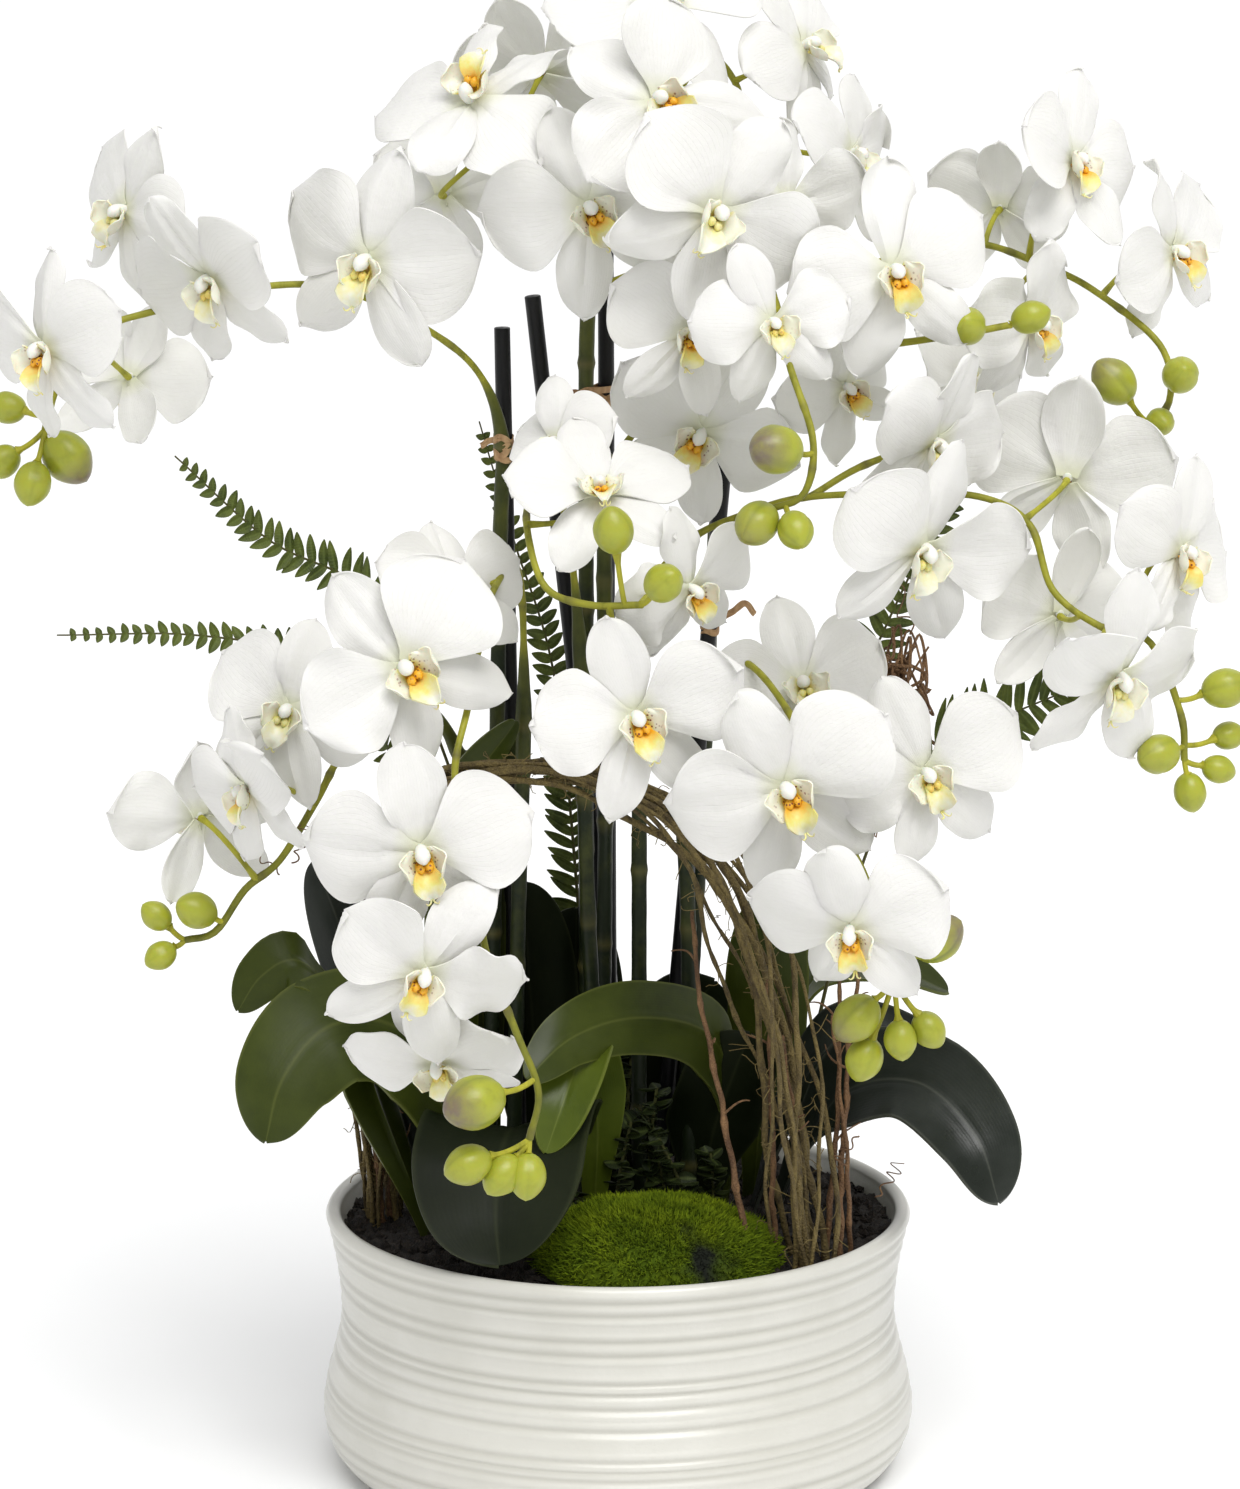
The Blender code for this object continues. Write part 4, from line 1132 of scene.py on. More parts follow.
    def build_lip(self, finish: Finish) -> bpy.types.Object:
        """Builds the lip's three lobes, its callus and whiskers, and the column above it."""
        draw = np.random.default_rng(2000 + self.seed)
        shape = Shape()
        size = self.span
        droop = draw.uniform(-0.02, 0.03)
        column = spaced(smooth_path(np.array([(0, 0.012, -0.01), (0, 0.016, 0.04), (0, 0.004, 0.085),
                                              (0, -0.018, 0.112)]), 6), 14)
        thick = np.array([0.024, 0.025, 0.026, 0.027, 0.029, 0.031, 0.033, 0.035, 0.036, 0.036, 0.034, 0.030,
                          0.022, 0.010])
        shape.add_tube(self.placed(column), thick * size, 14, white=1.0)
        warmth = draw.choice((0.15, 0.35, 0.9, 1.0, 1.1))
        for side in (-1, 1):
            spread = draw.uniform(0.85, 1.2)
            grid, along, across = self.lobe(
                [(side * 0.010, -0.034, 0.018), (side * 0.052, -0.040, 0.050),
                 (side * 0.096 * spread, -0.026, 0.088), (side * 0.118 * spread, 0.010, 0.122)],
                (side * 0.25, 1.0, 0.15), (0.024, 0.060, 0.082, 0.074, 0.018), side * 0.50)
            shape.add_sheet(self.placed(grid), TEPAL_THICKNESS, flecks=eased(1.6 - along * 2.2) * warmth,
                            gold=(0.55 + 0.2 * warmth) * eased(1 - along * 1.7) + 0.15 * across ** 4)
        grid, along, across = self.lobe(
            [(0, -0.030, 0.018), (0, -0.062, 0.058), (0, -0.100, 0.104), (0, -0.150, 0.128 - droop),
             (0, -0.200, 0.112 - droop * 2)],
            (1.0, 0.0, 0.0), (0.030, 0.036, 0.040, 0.060, 0.070, 0.040, 0.008), 0.60)
        shape.add_sheet(self.placed(grid), TEPAL_THICKNESS * 1.4, gold=(0.35 + 0.75 * warmth) * (1 - along),
                        flecks=eased(1.7 - along * 4) * warmth)
        for side in (-1, 1):
            whisker = np.array([(side * 0.004, -0.196, 0.112 - droop * 2), (side * 0.010, -0.212, 0.112),
                                (side * 0.024, -0.216, 0.122), (side * 0.030, -0.202, 0.132)])
            path = self.placed(smooth_path(whisker, 6))
            shape.add_tube(path, np.linspace(0.0055, 0.0022, len(path)) * size, 6, gold=0.35)
            knob = np.array([(side * 0.010, -0.040, 0.050), (side * 0.019, -0.050, 0.078),
                             (side * 0.020, -0.068, 0.094)])
            path = self.placed(smooth_path(knob, 4))
            thick = np.sin(np.linspace(0.35, 2.7, len(path))) * 0.021
            shape.add_tube(path, thick * size, 10, gold=0.30 + 0.65 * warmth, flecks=warmth)
        return shape.finish(self.name + "_lip", finish, Slot.LIP, self.stands_for, 50)


@dataclass
class Spray:
    """A grown spray: its cane and twigs, the stalks, its flowers and its buds.

    Attributes:
        name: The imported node's name.
        stems: The cane's points, which rise from the soil, and then any side branch's.
        thick_to: The height to which the cane is thick.
        blooms: Flowers with nodes of their own: centre, azimuth, elevation, roll and size in per cent
            of BLOOM_SPAN.
        joined: Flowers packed in one with the spray.
        extra: Flowers that only stand here.
        buds: Each bud's centre and radius.
        seed: Picks its small differences, and its flowers'.
        node_gap: From one joint of the cane to the next, in metres.
        paths: The fine paths of the cane and its branches, worked out from stems.
    """

    name: str
    stems: list[Line]
    thick_to: float
    blooms: list[tuple]
    joined: list[tuple]
    buds: list[tuple]
    extra: list[tuple] = field(default_factory=list)
    seed: int = 0
    node_gap: float = 0.058
    paths: list[np.ndarray] = field(default_factory=list)

    def __post_init__(self) -> None:
        """Works out the fine paths of the cane and its branches."""
        cane, *branches = self.stems
        fine = [footed_path(cane, 10), *(smooth_path(above_soil(branch), 10) for branch in branches)]
        self.paths = [spaced(path, max(12, int(lengths_along(path)[-1] / 0.0035))) for path in fine]

    def flowers(self) -> list[Bloom]:
        """Lists every flower of the spray."""
        own = f"bloom_{self.name.removesuffix('_spray')}"
        named = [(f"{own}_{number}", f"{own}_{number}", plan) for number, plan in enumerate(self.blooms, 1)]
        named += [(f"{self.name}_flower_{number}", self.name, plan)
                  for number, plan in enumerate(self.joined, 1)]
        named += [(f"{self.name}_added_{number}", None, plan) for number, plan in enumerate(self.extra, 1)]
        return [Bloom(name, *plan, node, self.seed * 20 + number)
                for number, (name, node, plan) in enumerate(named)]

    def nearest(self, place: np.ndarray) -> np.ndarray:
        """Gives the stem point nearest a place, well above the soil."""
        points = np.vstack([path[path[:, 2] > SOIL_TOP + 0.06] for path in self.paths])
        return points[np.argmin(np.linalg.norm(points - place, axis=1))]

    def stem_radii(self, path: np.ndarray, main: bool) -> tuple[np.ndarray, np.ndarray, np.ndarray]:
        """Gives a stem's radii with its joints, how young it is, and where its joints are."""
        beyond = (path[:, 2] - above_soil((0, 0, self.thick_to))[2]) / (STEM_TAPER_LENGTH * MM)
        share = np.maximum.accumulate(np.clip(beyond, 0, 1)) if main else np.ones(len(path))
        radii = STEM_RADIUS + (TWIG_RADIUS - STEM_RADIUS) * share
        travelled = lengths_along(path)
        gap = self.node_gap if main else 0.030
        phase = (travelled / gap + 0.37 * self.seed) % 1.0
        collar = np.exp(-((phase - 0.5) / 0.035) ** 2)
        sheath = np.where(phase > 0.5, np.exp(-(phase - 0.5) / 0.10), 0.0)
        radii = radii + (0.00055 * collar + 0.00030 * sheath) * (1 - 0.45 * share)
        radii = radii * (1 + 0.035 * ripple(path, 0.012, 60 + self.seed))
        rising = np.clip((path[:, 2] - SOIL_TOP) / (self.thick_to * MM), 0, 1)
        young = 0.10 + 0.22 * rising ** 2 + 0.87 * eased(share * 0.5) * share
        return radii, young, collar

    def stalk(self, shape: Shape, end: np.ndarray, outward: np.ndarray) -> None:
        """Adds a flower's curved stalk, from the nearest stem to the flower's back."""
        start = self.nearest(end - outward * 0.020)
        bend = end - outward * min(0.5 * np.linalg.norm(end - start), 0.022)
        path = bent_line(start, bend, end, 18)
        share = np.linspace(0, 1, len(path))
        radii = STALK_RADIUS * (1 + 0.45 * np.exp(-(share / 0.08) ** 2) + 0.35 * eased((share - 0.75) * 4))
        shape.add_tube(path, radii, 8, young=0.80 + 0.18 * share)

    def bud(self, shape: Shape, stems: Shape, centre: np.ndarray, radius: float) -> None:
        """Adds a seamed oval bud to one shape and its stalk to another."""
        start = self.nearest(centre)
        axis = units(centre - start)
        turn = np.linspace(0, math.pi, 19)[1:-1]
        rows = 1.24 * radius * -np.cos(turn)
        pointed = 1.0 - 0.16 * eased((rows / radius - 0.2) / 1.1)
        path = centre + axis * rows[:, None]
        side = units(np.cross(axis, (0.2, 0.9, 0.4)))
        face = np.cross(axis, side)
        sides = 30
        spin = full_turn(sides)
        fold = np.abs(np.sin(spin * 1.5 + radius * 900))
        seam = np.exp(-(fold / 0.16) ** 2)
        swell = (radius * np.sin(turn) * pointed)[:, None] * (1 - 0.075 * seam)
        points = (path[:, None] + side * (swell * np.cos(spin))[..., None]
                  + face * (swell * np.sin(spin))[..., None])
        ends = np.array((path[0] - axis * radius * 0.015, path[-1] + axis * radius * 0.06))
        big = float(np.clip((radius - 0.0088) / 0.0018, 0, 1))
        blush = np.repeat(np.clip(rows / radius / 1.1, 0, 1) * big, sides)
        marks = np.tile(seam * (0.25 + 0.6 * big), len(path))
        shape.add(np.vstack((points.reshape(-1, 3), ends)),
                  [*grid_faces(len(path), sides, True), *end_caps(len(path), sides)],
                  seam=np.append(marks, (0, 0)), blush=np.append(blush, (0, big)))
        distance = np.linalg.norm(centre - start)
        if distance > radius * 0.5:
            root = centre - axis * radius * 1.18
            sag = np.array((0, 0, -0.10 * distance))
            line = bent_line(start, (start + root) / 2 + sag, root, 12)
            thick = STALK_RADIUS * (1 + 0.9 * np.exp(-((np.linspace(0, 1, len(line)) - 1) / 0.10) ** 2))
            stems.add_tube(line, thick, 8, young=0.88)

    def build(self, bark: Finish, skin: Finish, petal: Finish,
              lip: Finish) -> None:
        """Builds the spray's pieces.

        Args:
            bark: The stems' finish.
            skin: The buds' finish.
            petal: The petals' finish.
            lip: The lips' finish.
        """
        stems, buds = Shape(), Shape()
        for number, path in enumerate(self.paths):
            radii, young, collar = self.stem_radii(path, number == 0)
            stems.add_tube(path, radii, 14 if number == 0 else 10, young=young, joint=collar * 0.8)
        for flower in self.flowers():
            outward = facing_frame(flower.azimuth, flower.elevation, flower.roll)[:, 2]
            self.stalk(stems, above_soil(flower.centre) - outward * 0.0012, outward)
            flower.build_tepals(petal)
            flower.build_lip(lip)
        for centre, radius in self.buds:
            self.bud(buds, stems, above_soil(centre), radius * MM)
        stems.finish(self.name + "_stems", bark, Slot.STEM, [self.name])
        if self.buds:
            buds.finish(self.name + "_buds", skin, Slot.BUD, [self.name])


# Leaves, fronds, vines and undergrowth


@dataclass
class Leaf:
    """One thick strap leaf: creased, slightly rolled, with a rounded tip.

    Attributes:
        name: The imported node's name, or the piece's own where it stands for none.
        points: Its midrib, in millimetres from the middle of the soil.
        across: The direction of its width.
        width: At its broadest, in millimetres.
        packed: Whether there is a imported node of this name.
        tip_across: The direction of its width at the tip, where it turns as it droops.
    """

    name: str
    points: Line
    across: Place
    width: float
    packed: bool = True
    tip_across: Place | None = None
    thickness: float = 0.0015

    def half_width(self, share: np.ndarray) -> np.ndarray:
        """Gives the half width: narrow at the foot, broadest past the middle, round at the tip."""
        grow = np.minimum(1.0, 0.26 + 0.95 * eased(share * 1.60))
        close = np.sqrt(np.clip(1 - np.clip((share - 0.66) / 0.34, 0, 1) ** 2.2, 0, 1))
        return np.maximum(self.width * MM / 2 * grow * close, 0.0004)

    def build(self, material: Finish, seed: int) -> bpy.types.Object:
        """Builds the leaf.

        Args:
            material: Its finish, already made.
            seed: Picks its small differences.

        Returns:
            The leaf.
        """
        draw = np.random.default_rng(300 + seed)
        fine = spaced(smooth_path(above_soil(self.points), 12), 80)
        share = np.sin(np.linspace(0, math.pi / 2, 64))
        travelled = lengths_along(fine) / lengths_along(fine)[-1]
        path = read_at(share, travelled, fine)
        along = units(read_at(share, travelled, tangents(fine)))
        turned = eased((share - 0.45) / 0.40)[:, None]
        wide = (1 - turned) * np.array(self.across) + turned * np.array(self.tip_across or self.across)
        side = units(wide - along * (along * wide).sum(axis=1, keepdims=True))
        face = np.cross(side, along)
        columns = np.sin(np.linspace(-1, 1, 25) * math.pi / 2)
        half = self.half_width(share)
        fold = 0.20 + 0.10 * np.sin(share * 3 + draw.uniform(0, 6))
        wave = 0.06 * np.sin(share[:, None] * draw.uniform(8, 13) + columns * 1.2 + draw.uniform(0, 6))
        rise = fold[:, None] * np.abs(columns) ** 1.6 + wave * np.abs(columns) ** 2
        crease = -0.0011 * np.exp(-(columns / 0.055) ** 2) * np.sin(math.pi * share)[:, None]
        grid = strap(path, side, -face, half[:, None] * columns, half[:, None] * rise + crease)
        shape = Shape()
        shape.add_sheet(grid, self.thickness, along=share[:, None], across=columns[None])
        return shape.finish(self.name + "_blade", material, Slot.LEAF,
                            [self.name] if self.packed else (), 50)


@dataclass
class Frond:
    """A fern frond: a thin midrib with pairs of pointed leaflets.

    Attributes:
        name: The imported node's name.
        points: The midrib, in millimetres from the middle of the soil.
        across: The direction that the leaflets on one side point in.
        reach: The longest leaflet, in millimetres.
        bare: The share of the midrib, from the foot, that has no leaflets.
        taper: How much shorter the last leaflets are, as a share.
        gap: From one pair to the next, in metres.
    """

    name: str
    points: Line
    across: Place
    reach: float
    bare: float
    taper: float
    gap: float = 0.0062

    def build(self, material: Finish, seed: int) -> bpy.types.Object:
        """Builds the frond.

        Args:
            material: The fern's finish.
            seed: Picks its small differences.

        Returns:
            The frond.
        """
        draw = np.random.default_rng(500 + seed)
        path = smooth_path(above_soil(self.points), 16)
        path = spaced(path, max(24, int(lengths_along(path)[-1] / 0.004)))
        share = np.linspace(0, 1, len(path))
        shape = Shape()
        shape.add_tube(path, 0.0012 - 0.0008 * share, 8, rib=1.0)
        along, wide = tangents(path), np.array(self.across)
        travelled = lengths_along(path)
        start, last = self.bare * travelled[-1], travelled[-1] - 0.002
        for place in np.arange(start, last, self.gap):
            root = read_at(place, travelled, path)
            forward = units(read_at(place, travelled, along))
            side = units(wide - forward * (forward @ wide))
            done = (place - start) / (last - start)
            reach = self.reach * MM * (1.0 - self.taper * done ** 1.6) * (0.75 + 0.25 * min(1.0, done * 8))
            for sign in (-1, 1):
                self.leaflet(shape, root, side * sign, forward, reach * draw.uniform(0.9, 1.08), draw)
        return shape.finish(self.name + "_fern", material, Slot.FERN, [self.name], 50)

    def leaflet(self, shape: Shape, root: np.ndarray, side: np.ndarray, forward: np.ndarray, reach: float,
                draw: np.random.Generator) -> None:
        """Adds one leaflet, swept towards the tip and slightly keeled.

        Args:
            shape: Where it goes.
            root: Where it meets the midrib.
            side: The direction away from the midrib.
            forward: The direction towards the frond's tip.
            reach: Its length in metres.
            draw: The source of its differences.
        """
        turn = math.radians(draw.uniform(20, 40))
        direction = side * math.cos(turn) + forward * math.sin(turn)
        wide = forward * math.cos(turn) - side * math.sin(turn)
        up = np.cross(direction, wide)
        lift = draw.uniform(-0.18, 0.28)
        share = np.linspace(0, 1, 9)[:, None]
        columns = np.linspace(-1, 1, 5)[None]
        half = np.maximum(0.0026 * np.sin(math.pi * (0.10 + 0.88 * share) ** 0.8) ** 0.7, 0.00025)
        half = half * min(1.0, 0.35 + reach / 0.014)
        grid = strap(root + direction * (reach * share), wide, up, half * columns,
                     lift * reach * share ** 2 - 0.35 * half * np.abs(columns))
        shape.add_sheet(grid, 0.00045, along=share, across=columns)


@dataclass(frozen=True)
class FernSkin:
    """Fern green, paler along each leaflet's keel, with a browner midrib."""

    name: str
    dark: Colour
    light: Colour

    def make(self) -> Finish:
        """Builds the material."""
        bench = Bench(self.name, 0.5, Specular_IOR_Level=0.25)
        keel = bench.spread(bench.sums("ABSOLUTE", bench.value("across")), 0.0, 0.35, 0.5, 0.0)
        cloud = bench.spread(bench.noise(90.0, 4.0), 0.35, 0.70)
        colour = bench.blend(cloud, self.dark, self.light)
        colour = bench.blend(keel, colour, (0.13, 0.17, 0.045))
        colour = bench.blend(bench.value("rib"), colour, (0.070, 0.066, 0.018))
        veins = bench.sums("SINE", bench.sums("MULTIPLY", bench.value("along"), 60.0))
        bench.relief(bench.sums("MULTIPLY_ADD", veins, 0.3, bench.noise(500.0, 3.0)), 0.35, 0.0004)
        return bench.dress(colour, bench.spread(cloud, 0.0, 1.0, 0.42, 0.60))


@dataclass
class VineBundle:
    """A loose bundle of mossy vines that arches over the pot and fans out at its feet."""

    points: Line
    strands: int = 13
    hairs: int = 620

    def lines(self) -> list[np.ndarray]:
        """Works out each strand's path, twisted round the bundle's own."""
        core = above_soil(self.points)
        core[[0, -1], 2] -= ROOT_DEPTH
        core = spaced(smooth_path(core, 12), 190)
        share = np.linspace(0, 1, len(core))
        side = carried_sides(core)
        face = np.cross(tangents(core), side)
        fan = 0.0070 + 0.0120 * eased((share - 0.48) / 0.26) + 0.0040 * eased((0.16 - share) / 0.16)
        found = []
        for number in range(self.strands):
            draw = np.random.default_rng(700 + number)
            turn = 2 * math.pi * number / self.strands + 4.4 * share + 0.7 * np.sin(share * 9 + number)
            out = fan * (0.55 + 0.55 * ((number * 5) % self.strands) / self.strands)
            out = out * (1 + 0.25 * np.sin(share * draw.uniform(8, 16) + draw.uniform(0, 6)))
            path = core + side * (out * np.cos(turn))[:, None] + face * (out * np.sin(turn))[:, None]
            path += 0.0008 * np.sin(share * 70 + number)[:, None] * side
            found.append(path)
        return found

    def build(self, material: Finish) -> bpy.types.Object:
        """Builds the strands and their hairs.

        Args:
            material: The vines' finish.

        Returns:
            The bundle.
        """
        shape = Shape()
        draw = np.random.default_rng(77)
        lines = self.lines()
        for number, path in enumerate(lines):
            share = np.linspace(0, 1, len(path))
            thick = (0.0009 + 0.0010 * ((number * 3) % 5) / 5) * (1 + 0.16 * ripple(path, 0.011,
                                                                                    90 + number))
            thick = thick * (1 + 0.30 * np.exp(-(((share * 9 + number * 0.37) % 1.0 - 0.5) / 0.06) ** 2))
            shape.add_tube(path, thick, 9, light=0.30 * ((number * 7) % 4) / 4)
        for _ in range(self.hairs):
            path = lines[draw.integers(len(lines))]
            start = path[draw.integers(4, len(path) - 4)]
            direction = units(draw.normal(size=3) + (0, 0, -0.5))
            curl = units(draw.normal(size=3))
            steps = np.linspace(0, 1, 6)[:, None]
            length = draw.uniform(0.004, 0.013)
            hair = start + length * (direction * steps + curl * 0.35 * np.sin(steps * draw.uniform(2, 6)))
            shape.add_tube(hair, 0.00022, 4, light=draw.uniform(0.2, 0.7))
        return shape.finish("vine_bundle_strands", material, Slot.VINE, ["vine_bundle"], 60)


@dataclass
class TwigWork:
    """Loose twigs, the curly wire tendrils and the tangled nest, each piece from its own lines."""

    sheaves: dict[str, tuple[list[Line], tuple[str, ...]]]
    tendrils: list[tuple[Place, float]]
    nest: Place

    def twig(self, shape: Shape, points: Line, thick: float, seed: int) -> None:
        """Adds a knotty twig with a few short side shoots.

        Args:
            shape: Where it goes.
            points: Its line, in millimetres from the middle of the soil.
            thick: Its radius at the foot, in metres.
            seed: Picks its knots and shoots.
        """
        draw = np.random.default_rng(900 + seed)
        path = smooth_path(above_soil(points), 12)
        path = spaced(path, max(20, int(lengths_along(path)[-1] / 0.003)))
        wander = [ripple(path[1:-1], 0.022, 910 + seed + axis) for axis in range(3)]
        path[1:-1] += 0.0010 * np.stack(wander, -1)
        share = np.linspace(0, 1, len(path))
        knots = np.exp(-(((share * 6 + seed * 0.3) % 1.0 - 0.5) / 0.07) ** 2)
        shape.add_tube(path, thick * (1 - 0.45 * share) * (1 + 0.45 * knots), 9, light=0.15 * knots)
        for _ in range(3):
            start = path[draw.integers(len(path) // 4, len(path) - 2)]
            reach = units(draw.normal(size=3) * (1, 1, 0.5) + (0, 0, 0.8)) * draw.uniform(0.008, 0.018)
            bend = draw.normal(0, 0.002, 3)
            steps = np.linspace(0, 1, 7)[:, None]
            shape.add_tube(start + reach * steps + bend * np.sin(3 * steps), 0.0007 - 0.0004 * steps[:,
                                                                                                     0], 6)

    def tendril(self, shape: Shape, start: Place, length: float, seed: int) -> None:
        """Adds one curly tendril of this length in millimetres, which winds away from its start."""
        draw = np.random.default_rng(950 + seed)
        steps = np.linspace(0, 1, 90)
        heading = units(draw.normal(size=3) * (1, 0.4, 1))
        side = units(np.cross(heading, (0.2, 1.0, 0.1)))
        face = np.cross(heading, side)
        spin = steps * 2 * math.pi * draw.uniform(2.0, 3.6) + 1.1 * np.sin(steps * 9)
        coil = length * 0.16 * (0.25 + steps)
        path = above_soil(start) + MM * (heading * (length * steps)[:, None]
                                        + side * (coil * (np.cos(spin) - 1))[:, None]
                                        + face * (coil * np.sin(spin))[:, None])
        shape.add_tube(path, 0.00042 - 0.00018 * steps, 6, light=0.1)

    def build(self, material: Finish) -> None:
        """Builds every sheaf, the tendrils and the nest in this finish."""
        for number, (name, (lines, nodes)) in enumerate(self.sheaves.items()):
            shape = Shape()
            for line_number, line in enumerate(lines):
                self.twig(shape, line, 0.0017 - 0.0002 * (line_number % 3), number * 10 + line_number)
            shape.finish(name, material, Slot.VINE, nodes, 60)
        shape = Shape()
        for number, (start, length) in enumerate(self.tendrils):
            self.tendril(shape, start, length, number)
        shape.finish("curly_tendrils", material, Slot.VINE)
        shape, draw = Shape(), np.random.default_rng(990)
        centre = above_soil(self.nest)
        for _ in range(26):
            pins = centre + draw.normal(0, 1, (5, 3)) * (0.0075, 0.006, 0.0125)
            path = smooth_path(pins, 8)
            thick = 0.0009 - 0.0004 * np.linspace(0, 1, len(path))
            shape.add_tube(path, thick, 6, light=draw.uniform(0, 0.3))
        shape.finish("twig_nest", material, Slot.VINE)


@dataclass
class Undergrowth:
    """Low sprigs of small round leaves that fill the shade behind the moss."""

    sprigs: list[tuple[Place, float]]

    def build(self, material: Finish) -> bpy.types.Object:
        """Builds the sprigs as one piece in this finish."""
        shape = Shape()
        for number, (foot, height) in enumerate(self.sprigs):
            draw = np.random.default_rng(600 + number)
            lean = draw.normal(0, 0.22, 2) * height
            top = np.array(foot) + (lean[0], lean[1], height)
            middle = (np.array(foot) + top) / 2 + (0, 0, height * 0.1)
            path = spaced(smooth_path(above_soil([foot, middle, top]), 10), 22)
            shape.add_tube(path, 0.0008, 7, rib=0.7)
            for place in path[5:]:
                for _ in range(2):
                    side = units(draw.normal(size=3) * (1, 1, 0.35))
                    self.disc(shape, place, side, draw)
        return shape.finish("low_undergrowth", material, Slot.FERN, (), 50)

    def disc(self, shape: Shape, root: np.ndarray, side: np.ndarray, draw: np.random.Generator) -> None:
        """Adds one small round leaf that grows from root towards side."""
        reach = draw.uniform(0.0055, 0.0100)
        up = units(np.array((0, 0, 1.0)) + draw.normal(0, 0.35, 3))
        wide = units(np.cross(up, side))
        share = np.linspace(0, 1, 8)[:, None]
        columns = np.linspace(-1, 1, 5)[None]
        half = np.maximum(reach * 0.45 * np.sin(math.pi * (0.06 + 0.92 * share)) ** 0.55, 0.0003)
        grid = strap(root + side * (reach * share), wide, up, half * columns,
                     0.15 * reach * share - 0.2 * half * columns ** 2)
        shape.add_sheet(grid, 0.0004, along=share, across=columns)


# Studio


@dataclass
class Studio:
    """Pale floor, soft lights and the camera.

    Attributes:
        aim: What the camera looks at.
        distance: From the camera to there.
        pitch: Degrees that the camera looks down.
        lens: In millimetres, for a 36 mm frame.
    """

    aim: Place = (0.00094, 0.0, 0.351)
    distance: float = 2.6
    pitch: float = 12.0
    lens: float = 133.97

    def floor(self) -> None:
        """Lays a wide, plain pale floor."""
        shape = bmesh.new()
        bmesh.ops.create_circle(shape, cap_ends=True, segments=96, radius=30.0)
        mesh = bpy.data.meshes.new("floor")
        shape.to_mesh(mesh)
        shape.free()
        bench = Bench("pale_floor", 0.9)
        paint = bench.blend(bench.noise(3.0), (0.93, 0.93, 0.93), (0.95, 0.95, 0.95))
        mesh.materials.append(bench.dress(paint))
        floor = bpy.data.objects.new("floor", mesh)
        bpy.context.scene.collection.objects.link(floor)

    def lamp(self, name: str, place: Place, size: float, power: float,
             colour: Colour) -> None:
        """Hangs one square soft light that faces the flowers."""
        light = bpy.data.lights.new(name, "AREA")
        light.size = size
        light.energy = power
        light.color = colour
        lamp = bpy.data.objects.new(name, light)
        lamp.location = place
        lamp.rotation_euler = (Vector(self.aim) - Vector(place)).to_track_quat("-Z", "Y").to_euler()
        bpy.context.scene.collection.objects.link(lamp)

    def build(self) -> None:
        """Sets up the floor, the lights, the surroundings and the camera."""
        scene = bpy.context.scene
        self.floor()
        self.lamp("key_light", (1.0, -1.7, 2.5), 0.8, 15.0, (1.0, 0.99, 0.97))
        self.lamp("back_light", (0.7, 1.9, 1.9), 1.6, 7.0, (1.0, 1.0, 1.0))
        glow = bpy.data.lights.new("wide_light", "SUN")
        glow.energy, glow.angle = 1.95, math.radians(40)
        wide = bpy.data.objects.new("wide_light", glow)
        wide.rotation_euler = Vector((-0.12, 0.62, -1.0)).to_track_quat("-Z", "Y").to_euler()
        scene.collection.objects.link(wide)
        world = bpy.data.worlds.new("soft_room")
        world.use_nodes = True
        backdrop = world.node_tree.nodes["Background"]
        backdrop.inputs["Color"].default_value = (0.99, 0.995, 1.0, 1.0)
        backdrop.inputs["Strength"].default_value = 0.62
        scene.world = world
        scene.view_settings.view_transform = "Standard"
        lens = bpy.data.cameras.new("camera")
        lens.lens, lens.sensor_width = self.lens, 36.0
        camera = bpy.data.objects.new("camera", lens)
        rise = math.radians(self.pitch)
        away = Vector((0.0, -math.cos(rise), math.sin(rise))) * self.distance
        camera.location = Vector(self.aim) + away
        camera.rotation_euler = (-away).to_track_quat("-Z", "Y").to_euler()
        scene.collection.objects.link(camera)
        scene.camera = camera


